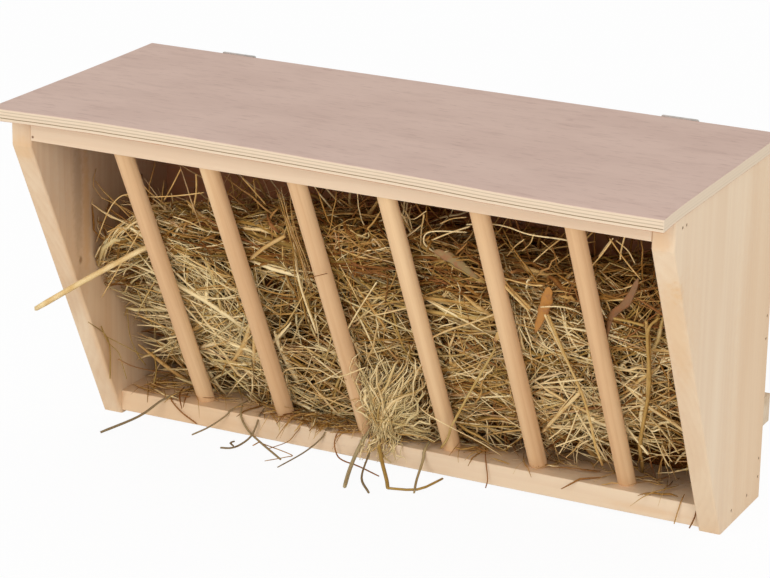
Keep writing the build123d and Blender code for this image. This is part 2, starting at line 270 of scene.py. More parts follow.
def softwood_grain(name):
    """Softwood whose trunk runs along local Z: growth rings, broad bands and fine fibre."""
    group, given, result = new_group(
        name,
        [("Vector", "NodeSocketVector", None), ("Pale", "NodeSocketColor", rgba((0.8, 0.7, 0.5))),
         ("Dark", "NodeSocketColor", rgba((0.6, 0.4, 0.2))),
         ("Rings", "NodeSocketFloat", 220.0), ("Contrast", "NodeSocketFloat", 0.8)],
        [("Color", "NodeSocketColor"), ("Height", "NodeSocketFloat")])
    vector = given["Vector"]
    slow = stretched(group, vector, (1.0, 1.0, 0.12))
    warp = put(group, "ShaderNodeTexNoise", {"Vector": slow, "Scale": 14.0, "Detail": 2.0})
    centred = vector_sum(group, "SUBTRACT", warp.outputs["Color"], (0.5, 0.5, 0.5))
    pushed = vector_sum(group, "MULTIPLY_ADD", centred, (0.024, 0.024, 0.0), vector)
    flat = vector_sum(group, "MULTIPLY", pushed, (1.0, 1.0, 0.0))
    away = put(group, "ShaderNodeVectorMath", {0: flat}, operation="LENGTH").outputs["Value"]
    ring = reckon(group, "FRACT", reckon(group, "MULTIPLY", away, given["Rings"]))
    late = reckon(group, "MULTIPLY", ramp(group, ring, 0.2, 0.85), ramp(group, ring, 1.0, 0.88))
    broad = speckle(group, stretched(group, vector, (1.0, 1.0, 0.06)), 42.0, 2.0)
    lines = speckle(group, stretched(group, vector, (1.0, 1.0, 0.02)), 330.0, 2.0)
    fibre = speckle(group, stretched(group, vector, (1.0, 1.0, 0.03)), 1500.0, 2.0)
    tone = reckon(group, "MULTIPLY", late, 0.17)
    tone = reckon(group, "MULTIPLY_ADD", ramp(group, broad, 0.35, 0.66), 0.60, tone)
    tone = reckon(group, "MULTIPLY_ADD", ramp(group, lines, 0.4, 0.75), 0.15, tone)
    tone = reckon(group, "MULTIPLY_ADD", reckon(group, "SUBTRACT", fibre, 0.5), 0.3, tone)
    tone = reckon(group, "MULTIPLY", tone, given["Contrast"])
    shade = mix(group, tone, given["Pale"], given["Dark"])
    height = reckon(group, "MULTIPLY_ADD", fibre, 0.6, reckon(group, "MULTIPLY", late, 0.4))
    group.links.new(shade, result.inputs["Color"])
    group.links.new(height, result.inputs["Height"])
    return group


def soft_spot(name):
    """A ragged spot for knots and stains: 1 at its place, 0 beyond its size."""
    group, given, result = new_group(
        name,
        [("Vector", "NodeSocketVector", None), ("Place", "NodeSocketVector", (0, 0, 0)),
         ("Size", "NodeSocketVector", (0.01, 0.01, 0.01))],
        [("Mask", "NodeSocketFloat")])
    ragged = speckle(group, given["Vector"], 260.0)
    offset = vector_sum(group, "SUBTRACT", given["Vector"], given["Place"])
    scaled = vector_sum(group, "DIVIDE", offset, given["Size"])
    away = put(group, "ShaderNodeVectorMath", {0: scaled}, operation="LENGTH").outputs["Value"]
    rough = reckon(group, "MULTIPLY_ADD", ragged, 0.6, reckon(group, "SUBTRACT", away, 0.3))
    group.links.new(ramp(group, rough, 1.0, 0.25), result.inputs["Mask"])
    return group


def veneer_face(name):
    """Peeled veneer with its grain along local X: soft patches, streaks and short dark pores."""
    group, given, result = new_group(
        name,
        [("Vector", "NodeSocketVector", None), ("Pale", "NodeSocketColor", rgba((0.7, 0.5, 0.4))),
         ("Dark", "NodeSocketColor", rgba((0.5, 0.3, 0.2)))],
        [("Color", "NodeSocketColor"), ("Height", "NodeSocketFloat")])
    vector = given["Vector"]
    patches = speckle(group, stretched(group, vector, (0.5, 1.0, 1.0)), 22.0, 3.0)
    pores = speckle(group, stretched(group, vector, (0.16, 1.0, 1.0)), 420.0, 2.0, 0.6)
    streaks = speckle(group, stretched(group, vector, (0.28, 1.0, 1.0)), 150.0, 2.0)
    tone = reckon(group, "MULTIPLY", ramp(group, patches, 0.35, 0.7), 0.22)
    tone = reckon(group, "MULTIPLY_ADD", ramp(group, pores, 0.56, 0.72), 0.40, tone)
    tone = reckon(group, "MULTIPLY_ADD", ramp(group, streaks, 0.50, 0.75), 0.22, tone)
    group.links.new(mix(group, tone, given["Pale"], given["Dark"]), result.inputs["Color"])
    group.links.new(pores, result.inputs["Height"])
    return group


def new_material(name):
    """A material: itself, its node tree, its shader and its Object coordinates."""
    material = bpy.data.materials.new(name)
    material.use_nodes = True
    tree = material.node_tree
    place = put(tree, "ShaderNodeTexCoord")
    return material, tree, tree.nodes["Principled BSDF"], place.outputs["Object"]


def bump(tree, shader, height, distance, strength=0.6):
    made = put(tree, "ShaderNodeBump", {"Height": height, "Distance": distance,
                                        "Strength": strength})
    tree.links.new(made.outputs[0], shader.inputs["Normal"])


# ---- timber ---------------------------------------------------------------------------------------
Grain = namedtuple("Grain", "turn pith")
Spot = namedtuple("Spot", "kind place size strength")

UPRIGHT = (0.0, 0.0, 0.0)
ALONG_BOX = (0.0, math.radians(-90), 0.0)          # turns the box's X into the trunk's axis
ALONG_BAR = (-BAR_LEAN, 0.0, 0.0)

BOARD_GRAIN = {
    "side_panel_left": Grain(UPRIGHT, (0.285, 0.030, 0.0)),
    "side_panel_right": Grain(UPRIGHT, (-0.200, 0.012, 0.0)),
    "floor_board": Grain(ALONG_BOX, (0.060, 0.020, 0.0)),
    "top_front_rail": Grain(ALONG_BOX, (0.300, 0.045, 0.0)),
}
BOARD_SPOTS = {
    "side_panel_left": [
        Spot("knot", (LEFT_FACE, -0.029, 0.138), (0.006, 0.003, 0.0045), 0.8),
        Spot("knot", (LEFT_FACE, -0.001, 0.141), (0.006, 0.005, 0.0025), 0.5),
        Spot("resin_and_warm_shade", (LEFT_FACE, -0.020, 0.170), (0.010, 0.0070, 0.070), 0.5),
        Spot("resin_and_warm_shade", (-0.2405, -0.0895, 0.236), (0.012, 0.010, 0.016), 0.4),
        # Painted warm shade over most of the left board's inner face.
        Spot("resin_and_warm_shade", (LEFT_FACE, 0.020, 0.120), (0.006, 0.120, 0.200), 0.34),
        Spot("knot", (LEFT_FACE, -0.031, 0.195), (0.006, 0.009, 0.075), 0.26),
    ],
    "side_panel_right": [
        Spot("resin_and_warm_shade", (OUTER_RIGHT, -0.080, 0.196), (0.012, 0.012, 0.026), 0.6),
        Spot("resin_and_warm_shade", (0.2385, -0.091, 0.246), (0.010, 0.008, 0.014), 0.35),
        Spot("knot", (OUTER_RIGHT, -0.084, 0.216), (0.004, 0.003, 0.0016), 0.35),
        Spot("resin_and_warm_shade", (0.2405, -0.060, 0.175), (0.012, 0.045, 0.085), 0.30),
        Spot("resin_and_warm_shade", (OUTER_RIGHT, 0.085, 0.100), (0.006, 0.075, 0.260), 0.20),
    ],
    "floor_board": [
        Spot("resin_and_warm_shade", (0.190, FLOOR_LOW.y, 0.008), (0.040, 0.010, 0.004), 0.2),
        Spot("resin_and_warm_shade", (-0.190, FLOOR_LOW.y, 0.012), (0.130, 0.080, 0.040), 0.35),
        # Painted warm shade over the floor board's top inside the box.
        Spot("resin_and_warm_shade", (0.020, 0.080, FLOOR_TOP), (0.340, 0.062, 0.006), 0.60),
    ],
    "top_front_rail": [
        Spot("knot", (LEFT_FACE + 0.0015, RAIL_LOW.y, 0.2465), (0.0014, 0.003, 0.0014), 1.0)],
}
# How much the faces that look forwards are tinted yellower and painted darker as shade.
FRONT_TINT_AND_SHADE = {"side_panel_left": 0.18, "side_panel_right": 0.15}
GRAIN_CONTRAST = {"side_panel_left": 0.85}
PLAIN_BOARD_CONTRAST = 0.5
# Shares of a sheet's thickness where its inner face veneer ends and its outer one starts.
FACE_VENEERS = (0.045, 0.955)


def wood_material(name, pale, dark, grain, spots=(), contrast=0.9, front_tint_and_shade=0.0):
    """Planed softwood: its grain follows the board, and knots, resin and painted warm shade sit
    where they are named.

    front_tint_and_shade is how much of the front edge's colour, yellower and painted darker as
    shade, the faces that look forwards take."""
    timber = bpy.context.scene.hay_timber
    material, tree, shader, vector = new_material(name)
    wood = place_group(tree, softwood_grain, {
        "Vector": stretched(tree, vector, (1, 1, 1), grain.pith, grain.turn),
        "Pale": rgba(pale), "Dark": rgba(dark), "Rings": 1 / timber.ring_spacing,
        "Contrast": contrast})
    shade = wood["Color"]
    for spot in spots:
        mask = place_group(tree, soft_spot, {"Vector": vector, "Place": spot.place,
                                             "Size": spot.size})["Mask"]
        shade = mix(tree, reckon(tree, "MULTIPLY", mask, spot.strength), shade,
                    timber.knot if spot.kind == "knot" else timber.resin_and_warm_shade)
    # Painted shade: faces that look forwards are tinted yellower and painted darker.
    if front_tint_and_shade:
        normal = put(tree, "ShaderNodeTexCoord").outputs["Normal"]
        forwards = put(tree, "ShaderNodeSeparateXYZ", {0: normal}).outputs["Y"]
        shade = mix(tree, ramp(tree, forwards, -0.4, -0.7, 0.0, front_tint_and_shade), shade,
                    timber.front_edge_and_shade)
    tree.links.new(shade, shader.inputs["Base Color"])
    tree.links.new(ramp(tree, wood["Height"], 0.2, 0.8, 0.70, 0.56), shader.inputs["Roughness"])
    shader.inputs["Specular IOR Level"].default_value = 0.3
    bump(tree, shader, wood["Height"], 0.00015)
    return material


def plywood_material(name, shaded_inner_veneer, vector_of, across, inner, outer):
    """Plywood: face veneers, the faces that look into the box painted darker and warmer as shade,
    and its pale plies and thin dark glue lines on the cut edges.

    across is the axis through the sheet, and inner and outer are where its faces are along it."""
    timber = bpy.context.scene.hay_timber
    material, tree, shader, vector = new_material(name)
    vector = vector_of(tree) if vector_of else vector
    parts = put(tree, "ShaderNodeSeparateXYZ", {0: vector}).outputs
    wander = reckon(tree, "MULTIPLY_ADD", speckle(tree, vector, 40.0), 0.0006, -0.0003)
    through = reckon(tree, "ADD", parts[across], wander)
    depth = put(tree, "ShaderNodeMapRange", {"Value": through, "From Min": inner,
                                             "From Max": outer})
    outside = reckon(tree, "GREATER_THAN", depth.outputs[0], 0.5)
    # Painted shade: the face that looks into the box takes the darker, warmer inner veneer.
    face = place_group(tree, veneer_face, {
        "Vector": vector, "Pale": mix(tree, outside, shaded_inner_veneer, timber.veneer),
        "Dark": rgba(timber.veneer_dark)})
    pale, line = timber.ply_pale, timber.ply_line
    faint = tuple(0.55 * a + 0.45 * b for a, b in zip(pale, line))
    plies = shades(tree, depth.outputs[0], [
        (0.0, pale), (0.24, line), (0.32, pale), (0.48, faint), (0.57, pale), (0.74, faint),
        (0.80, pale)], between="CONSTANT")
    grain = speckle(tree, stretched(tree, vector, (0.1, 0.1, 1.0)), 900.0)
    plies = mix(tree, reckon(tree, "MULTIPLY", grain, 0.25), plies, timber.board_dark)
    ends = reckon(tree, "GREATER_THAN", reckon(tree, "ABSOLUTE", parts["X"]), LID_HIGH.x - 0.0004)
    plies = mix(tree, reckon(tree, "MULTIPLY", ends, 0.85), plies, pale)
    low, high = FACE_VENEERS
    skin = reckon(tree, "MAXIMUM", reckon(tree, "GREATER_THAN", depth.outputs[0], high),
                  reckon(tree, "LESS_THAN", depth.outputs[0], low))
    tree.links.new(mix(tree, skin, plies, face["Color"]), shader.inputs["Base Color"])
    shader.inputs["Roughness"].default_value = 0.62
    shader.inputs["Specular IOR Level"].default_value = 0.28
    bump(tree, shader, face["Height"], 0.0001, 0.4)
    return material


# ---- placing pieces -------------------------------------------------------------------------------
def dress(material, *nodes):
    """Gives CAD nodes a material; their meshes stay as they are."""
    for name in nodes:
        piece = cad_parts[name]
        piece.data.materials.clear()
        piece.data.materials.append(material)


def nodes_like(*words):
    return [name for name in sorted(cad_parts) if all(word in name for word in words)]


def new_object(name, data):
    made = bpy.data.objects.new(name, data)
    bpy.context.scene.collection.objects.link(made)
    return made


def add_piece(name, mesh, material, body):
    """Puts a finished mesh in the scene at the origin, on its body and with its finish."""
    piece = new_object(name, mesh)
    mesh.materials.clear()
    mesh.materials.append(material)
    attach(piece, body)
    return piece


def mesh_from(bm, name):
    mesh = bpy.data.meshes.new(name)
    bm.to_mesh(mesh)
    bm.free()
    return mesh


# ---- the hay's lie --------------------------------------------------------------------------------
# Along the box: places, and how high the pile's ridge is there, in metres. The ridge runs along
# the front, and the pile falls from it towards the back. These heights and the tones below were
# set in rounds against measurements of the render and of the photograph.
RIDGE_STATIONS = [-0.2325, -0.212, -0.179, -0.137, -0.097, -0.057, -0.022, 0.009, 0.044, 0.098,
                  0.142, 0.178, 0.210, 0.2325]
RIDGE_HEIGHTS = [0.120, 0.146, 0.172, 0.180, 0.186, 0.192, 0.196, 0.196, 0.191, 0.188, 0.176,
                 0.191, 0.190, 0.182]
RIDGE_Y = -0.015
RIDGE_FALL = 0.24
LOFT = 0.014                   # how far packed and loose strands may rise above the pile's top
TONE_STATIONS = [-0.200, -0.100, -0.040, 0.030, 0.080, 0.140, 0.200]
TONES = [0.28, 0.09, -0.03, -0.08, -0.08, 0.13, -0.06]
LEAN_UP = np.array([0.0, -math.sin(BAR_LEAN), math.cos(BAR_LEAN)])       # up along the bars
LEAN_IN = np.array([0.0, math.cos(BAR_LEAN), math.sin(BAR_LEAN)])        # into the pile
ALONG = np.array([1.0, 0.0, 0.0])
INTO = np.array([0.0, 1.0, 0.0])
DOWN = np.array([0.0, 0.0, -1.0])


def rise(value, low, high):
    """0 below low, 1 above high, and smooth between."""
    share = np.clip((value - low) / (high - low), 0, 1)
    return share * share * (3 - 2 * share)


def bar_line_y(z):
    """Where the bars' axes are at height z."""
    return BAR_FOOT_Y - BAR_SLOPE * (z - FLOOR_TOP)


def pile_top(x, y):
    """Height of the pile's top: highest along its ridge, lower behind it and round its front."""
    ridge = np.interp(x, RIDGE_STATIONS, RIDGE_HEIGHTS)
    return (ridge - RIDGE_FALL * np.maximum(0, y - RIDGE_Y)
            - 0.5 * np.maximum(0, RIDGE_Y - 0.012 - y))


def shoulder(x, z):
    """1 where the pile's front rounds back into the shade: high up, past the first bar and in
    the right-hand half."""
    left = rise(x, -0.165, -0.150) * (1 - rise(x, -0.120, -0.095)) * rise(z, 0.145, 0.172)
    right = rise(x, -0.020, 0.050) * rise(z, 0.145, 0.192)
    return np.maximum(left, right)


def top_shade(x, z):
    """How much darker the hay is near its top, under the lid, and less so at the left end."""
    return 0.12 * rise(z, 0.14, 0.20) + 0.20 * rise(z, 0.145, 0.178) * rise(x, -0.180, -0.150)


def hollow(x, z):
    """How far the pile's front stands back from the bars: thin low down at both ends."""
    left = 0.040 * (1 - rise(x, -0.215, -0.140)) * (1 - rise(z, 0.070, 0.140))
    right = 0.014 * rise(x, 0.060, 0.110) * (1 - rise(z, 0.028, 0.060))
    return left + right + 0.013 * shoulder(x, z)


def lay_tone(x):
    """How much brighter the hay is at a place along the box: palest at the left end, browner in
    the middle, and pale again short of the right end."""
    return float(np.interp(x, TONE_STATIONS, TONES))


def pocket(x, z):
    """1 in the dark pockets between the sheaves, some 35 mm across, and 0 elsewhere; packed strands
    there are painted darker as shade.
    """
    low = 0.16 * (1 - rise(z, 0.05, 0.13))
    between = rise(noise.noise(Vector((x * 19, z * 22, 9.0))) + low, 0.16, 0.36)
    foot = (1 - rise(z, 0.030, 0.052)) * rise(x, 0.020, 0.060)
    return float(max(between, foot))


def front_limit(z):
    """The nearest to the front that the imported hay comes: just behind the bars."""
    return bar_line_y(z) + BAR_BACK + 0.0008


def hold_in(points):
    """Keeps points between the side boards, behind the bars, off the back and on the floor."""
    x, y, z = points[..., 0], points[..., 1], points[..., 2]
    x[:] = np.clip(x, HAY_LEFT, HAY_RIGHT)
    z[:] = np.clip(z, HAY_FLOOR, pile_top(x, y) + LOFT)
    y[:] = np.clip(y, front_limit(z), HAY_BACK)
    return points


Strand = namedtuple("Strand", "points half_width tilt tone hue")
STRAND_STEPS = 6
SECTION_CORNERS = 4
TAPER = np.array([0.45, 0.88, 1.0, 1.0, 0.85, 0.35])


def strand_section(flat):
    """The section of every strand: a diamond one unit across each way, and flat through it."""
    line = bpy.data.curves.new("strand_section", "CURVE")
    line.dimensions = "2D"
    spline = line.splines.new("POLY")
    spline.points.add(SECTION_CORNERS - 1)
    for point, place in zip(spline.points, ((1, 0), (0, -flat), (-1, 0), (0, flat))):
        point.co = (*place, 0, 1)
    spline.use_cyclic_u = True
    return bpy.data.objects.new("strand_section", line)


def strand_mesh(name, strands, flat):
    """Lays strands as curves, makes them a mesh and keeps each one's tone, length and hue."""
    section = strand_section(flat)
    line = bpy.data.curves.new(name, "CURVE")
    line.dimensions = "3D"
    line.bevel_mode = "OBJECT"
    line.bevel_object = section
    line.use_fill_caps = True
    rings, caps = [], []
    for strand in strands:
        count = len(strand.points)
        spline = line.splines.new("POLY")
        spline.points.add(count - 1)
        spline.points.foreach_set("co", np.c_[strand.points, np.ones(count)].ravel())
        spline.points.foreach_set("radius", np.asarray(strand.half_width, dtype=float))
        spline.points.foreach_set("tilt", np.asarray(strand.tilt, dtype=float))
        along = np.linspace(0, 1, count)
        share = np.c_[np.full(count, strand.tone), along, np.full(count, strand.hue),
                      np.ones(count)]
        rings.append(np.repeat(share, SECTION_CORNERS, axis=0))
        caps.append(np.repeat(share[[0, -1]], SECTION_CORNERS, axis=0))
    holder = bpy.data.objects.new(name, line)
    for spare in (holder, section):
        bpy.context.scene.collection.objects.link(spare)
    ready = holder.evaluated_get(bpy.context.evaluated_depsgraph_get())
    mesh = bpy.data.meshes.new_from_object(ready)
    mesh.name = name
    shares = np.concatenate([np.concatenate(caps)[::-1], *rings])     # as Blender orders them
    if len(mesh.vertices) != len(shares):
        raise RuntimeError(f"{name}: {len(mesh.vertices)} points where {len(shares)} were laid")
    layer = mesh.attributes.new("strand", "FLOAT_COLOR", "POINT")
    layer.data.foreach_set("color", shares.ravel())
    bm = bmesh.new()
    bm.from_mesh(mesh)
    bmesh.ops.remove_doubles(bm, verts=bm.verts[:], dist=1e-7)
    bm.to_mesh(mesh)
    bm.free()
    for spare in (holder, section):
        data = spare.data
        bpy.data.objects.remove(spare)
        bpy.data.curves.remove(data)
    return mesh


def smooth_line(points, count):
    """A smooth line, in metres, through a few points given in millimetres."""
    points = np.asarray(points, dtype=float) * MM
    padded = np.vstack([2 * points[0] - points[1], points, 2 * points[-1] - points[-2]])
    spots = []
    for share in np.linspace(0, len(points) - 1, count):
        first = min(int(share), len(points) - 2)
        t = share - first
        a, b, c, d = padded[first:first + 4]
        spots.append(0.5 * (2 * b + (c - a) * t + (2 * a - 5 * b + 4 * c - d) * t ** 2
                            + (3 * b - a - 3 * c + d) * t ** 3))
    return np.array(spots)


def cut_out(points, shares):
    """A strand's places at other shares of the way along it, from 0 to 1."""
    step = np.linspace(0, 1, len(points))
    return np.stack([np.interp(shares, step, points[:, axis]) for axis in range(3)], 1)


def hay_material(name):
    """Dry grass: each strand has its own tone, with painted shade laid into it where it lies, its
    own hue, fibres along it and darker joints.
    """
    hay = bpy.context.scene.hay_hay
    material, tree, shader, vector = new_material(name)
    own = put(tree, "ShaderNodeAttribute", attribute_name="strand").outputs["Color"]
    tone, along, hue = put(tree, "ShaderNodeSeparateColor", {0: own}).outputs[:3]
    blotch = speckle(tree, vector, 90.0, 3.0)
    level = reckon(tree, "MULTIPLY_ADD", reckon(tree, "SUBTRACT", blotch, 0.5), 0.5, tone)
    fibre = speckle(tree, vector, 1300.0, 2.0)
    level = reckon(tree, "MULTIPLY_ADD", reckon(tree, "SUBTRACT", fibre, 0.5), 0.35, level)
    shade = shades(tree, level, [(0.0, hay.dark), (0.33, hay.olive), (0.66, hay.straw),
                                 (1.0, hay.pale)])
    green = mix(tree, 0.48, shade, hay.green)
    grey = mix(tree, 0.6, shade, hay.weathered)
    russet = mix(tree, 0.7, shade, hay.russet)
    shade = mix(tree, ramp(tree, hue, 0.45, 0.2), shade, green)
    shade = mix(tree, ramp(tree, hue, 0.10, 0.02), shade, grey)
    shade = mix(tree, ramp(tree, hue, 0.6, 0.95), shade, russet)
    joints = put(tree, "ShaderNodeCombineXYZ", {0: along, 1: tone, 2: hue}).outputs[0]
    joint = ramp(tree, speckle(tree, stretched(tree, joints, (5.0, 37.0, 53.0)), 2.0), 0.64, 0.74)
    shade = mix(tree, reckon(tree, "MULTIPLY", joint, 0.45), shade, hay.dark)
    tree.links.new(shade, shader.inputs["Base Color"])
    tree.links.new(ramp(tree, fibre, 0.3, 0.7, 0.55, 0.75), shader.inputs["Roughness"])
    shader.inputs["Specular IOR Level"].default_value = 0.2
    bump(tree, shader, fibre, 0.0001, 0.4)
    return material


# ---- the operators --------------------------------------------------------------------------------
class HAYBOX_OT_boards(bpy.types.Operator):
    """Gives the side boards, the floor board and the front rail their softwood"""
    bl_idname = "haybox.boards"
    bl_label = "Boards"

    def execute(self, context):
        timber = context.scene.hay_timber
        for name, grain in BOARD_GRAIN.items():
            dress(wood_material(f"softwood {name}", timber.board_pale, timber.board_dark, grain,
                                BOARD_SPOTS.get(name, ()),
                                contrast=GRAIN_CONTRAST.get(name, PLAIN_BOARD_CONTRAST),
                                front_tint_and_shade=FRONT_TINT_AND_SHADE.get(name, 0.0)), name)
        return {"FINISHED"}


class HAYBOX_OT_bars(bpy.types.Operator):
    """Gives the six round bars their wood, with its grain along them"""
    bl_idname = "haybox.bars"
    bl_label = "Bars"

    def execute(self, context):
        timber = context.scene.hay_timber
        piths = [(0.21, 0.04, 0), (0.15, 0.09, 0), (0.09, -0.05, 0), (0.02, 0.06, 0),
                 (-0.05, 0.11, 0), (-0.13, -0.04, 0)]
        for name, pith in zip(BAR_NAMES, piths):
            dress(wood_material(f"turned {name}", timber.bar_pale, timber.bar_dark,
                                Grain(ALONG_BAR, pith), contrast=0.9), name)
        return {"FINISHED"}


class HAYBOX_OT_battens(bpy.types.Operator):
    """Gives the two battens on the back their rougher wood"""
    bl_idname = "haybox.battens"
    bl_label = "Battens"

    def execute(self, context):
        timber = context.scene.hay_timber
        material = wood_material("sawn batten", timber.batten_pale, timber.batten_dark,
                                 Grain(ALONG_BOX, (0.100, -0.070, 0.0)), contrast=1.0)
        dress(material, "lower_batten", "upper_batten")
        return {"FINISHED"}


class HAYBOX_OT_back(bpy.types.Operator):
    """Gives the back panel its plywood"""
    bl_idname = "haybox.back"
    bl_label = "Back panel"

    def execute(self, context):
        shaded_inner_veneer = context.scene.hay_timber.shaded_inner_veneer
        dress(plywood_material("plywood back", shaded_inner_veneer, None, 1, BACK_LOW.y, BACK_HIGH.y),
              "back_panel")
        return {"FINISHED"}


class HAYBOX_OT_lid(bpy.types.Operator):
    """Builds the plywood lid, which has bowed a little along its front edge"""
    bl_idname = "haybox.lid"
    bl_label = "Lid"

    ROUND = 0.0006
    # Along the box, and how far the front edge stands above a flat lid's there, in metres. These
    # were set to what was measured between the photograph's front edge and the render's.
    BOW_STATIONS = [-0.25, -0.212, -0.170, -0.094, -0.018, 0.056, 0.125]
    BOW = [0.0024, 0.0032, 0.0039, 0.0038, 0.0029, 0.0017, 0.0]
    DROOP = 0.0014                 # of the overhang at its right end

    def execute(self, context):
        bm = bmesh.new()
        bmesh.ops.create_grid(bm, x_segments=40, y_segments=12, size=0.5)
        spread = Matrix.Diagonal((LID_HIGH.x - LID_LOW.x, LID_HIGH.y - LID_LOW.y, 1, 1))
        middle = Matrix.Translation(((LID_LOW.x + LID_HIGH.x) / 2, (LID_LOW.y + LID_HIGH.y) / 2,
                                     LID_LOW.z))
        bm.transform(middle @ spread)
        raised = bmesh.ops.extrude_face_region(bm, geom=bm.faces[:])
        above = [part for part in raised["geom"] if isinstance(part, bmesh.types.BMVert)]
        bmesh.ops.translate(bm, verts=above, vec=(0, 0, LID_HIGH.z - LID_LOW.z))
        bmesh.ops.recalc_face_normals(bm, faces=bm.faces)
        sharp = [edge for edge in bm.edges if edge.calc_face_angle(0) > math.radians(60)]
        bmesh.ops.bevel(bm, geom=sharp, offset=self.ROUND, affect="EDGES", segments=2,
                        profile=0.5, material=-1)
        mesh = mesh_from(bm, "lid_board")
        flat = mesh.attributes.new("flat", "FLOAT_VECTOR", "POINT")
        places = np.empty(len(mesh.vertices) * 3)
        mesh.vertices.foreach_get("co", places)
        flat.data.foreach_set("vector", places)
        places = places.reshape(-1, 3)
        forward = np.clip((LID_HIGH.y - places[:, 1]) / (LID_HIGH.y - LID_LOW.y), 0, 1)
        places[:, 2] += np.interp(places[:, 0], self.BOW_STATIONS, self.BOW) * forward ** 1.6
        beyond = np.clip((RAIL_LOW.y - places[:, 1]) / (RAIL_LOW.y - LID_LOW.y), 0, 1)
        places[:, 2] -= self.DROOP * beyond * rise(places[:, 0], 0.09, 0.21)
        mesh.vertices.foreach_set("co", places.ravel())

        def flat_place(tree):
            return put(tree, "ShaderNodeAttribute", attribute_name="flat").outputs["Vector"]

        material = plywood_material("plywood lid", context.scene.hay_timber.shaded_inner_veneer,
                                    flat_place, 2, LID_LOW.z, LID_HIGH.z)
        lid = add_piece("lid_board", mesh, material, "lid")
        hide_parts("lid")
        return {"FINISHED"}


class HAYBOX_OT_fittings(bpy.types.Operator):
    """Gives the hinges and screws their zinc and the brads their dull steel"""
    bl_idname = "haybox.fittings"
    bl_label = "Hinges, screws and brads"

    def execute(self, context):
        metal = context.scene.hay_metal
        dress(self.metal("zinc plate", metal.zinc, metal.zinc_dull, 0.30),
              *nodes_like("hinge_"), "batten_screws")
        dress(self.metal("dull steel", metal.nail, tuple(c * 0.6 for c in metal.nail), 0.45),
              *nodes_like("_nails"))
        return {"FINISHED"}

    def metal(self, name, bright, dull, rough):
        material, tree, shader, vector = new_material(name)
        cloud = speckle(tree, vector, 160.0, 3.0)
        scuff = speckle(tree, stretched(tree, vector, (1.0, 0.2, 0.2)), 1400.0, 2.0)
        patch = ramp(tree, cloud, 0.35, 0.65)
        tree.links.new(mix(tree, patch, bright, dull), shader.inputs["Base Color"])
        gloss = reckon(tree, "MULTIPLY_ADD", patch, 0.15,
                       reckon(tree, "MULTIPLY_ADD", scuff, 0.2, rough - 0.1))
        tree.links.new(gloss, shader.inputs["Roughness"])
        shader.inputs["Metallic"].default_value = 0.9
        bump(tree, shader, scuff, 0.00005, 0.4)
        return material


class HAYBOX_OT_core(bpy.types.Operator):
    """Builds the hay's shaded inside, which closes the gaps behind the strands"""
    bl_idname = "haybox.core"
    bl_label = "Hay, inside"

    INSET = 0.020
    CUTS = 17
    BARE_LEFT = 0.036              # from the left board's inner face
    BARE_ENDS = 0.044              # from both boards' inner faces together

    def execute(self, context):
        bm = bmesh.new()
        bmesh.ops.create_cube(bm, size=1.0)
        bmesh.ops.subdivide_edges(bm, edges=bm.edges[:], cuts=self.CUTS, use_grid_fill=True)
        for vert in bm.verts:
            vert.co = self.shaped(vert.co + Vector((0.5, 0.5, 0.5)))
        bmesh.ops.smooth_vert(bm, verts=bm.verts[:], factor=0.5, use_axis_x=True,
                              use_axis_y=True, use_axis_z=True)
        bmesh.ops.recalc_face_normals(bm, faces=bm.faces)
        for face in bm.faces:
            face.smooth = True
        core = add_piece("hay_inside", mesh_from(bm, "hay_inside"), self.material(), "box")
        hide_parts("hay_fill")
        return {"FINISHED"}

    def shaped(self, share):
        """Turns shares of a cube into places in the pile: along, from front to back, and up."""
        x = LEFT_FACE + self.BARE_LEFT + share.x * (RIGHT_FACE - LEFT_FACE - self.BARE_ENDS)
        lump = noise.noise(Vector((x * 22, share.z * 4, share.y * 3))) * 0.006
        deep = BACK_LOW.y - 0.001
        ridge = float(pile_top(x, RIDGE_Y)) - self.INSET
        z = FLOOR_TOP + 0.001 + share.z * (ridge - FLOOR_TOP)
        front = float(front_limit(z)) + self.INSET + float(hollow(x, z)) + lump
        front = min(front + 0.022 * pocket(x, z), deep - 0.015)
        y = front + share.y * (deep - front)
        fall = (ridge - float(pile_top(x, y)) + self.INSET) * share.z - 1.4 * lump * share.z
        return Vector((x, y, z - max(0, fall)))

    def material(self):
        hay = bpy.context.scene.hay_hay
        material, tree, shader, vector = new_material("hay shade")
        fibre = speckle(tree, stretched(tree, vector, (0.2, 1.0, 1.0)), 500.0, 4.0, 0.7)
        tree.links.new(mix(tree, ramp(tree, fibre, 0.45, 0.75), hay.heart, hay.dark),
                       shader.inputs["Base Color"])
        shader.inputs["Roughness"].default_value = 0.9
        shader.inputs["Specular IOR Level"].default_value = 0.1
        bump(tree, shader, fibre, 0.002, 0.9)
        return material


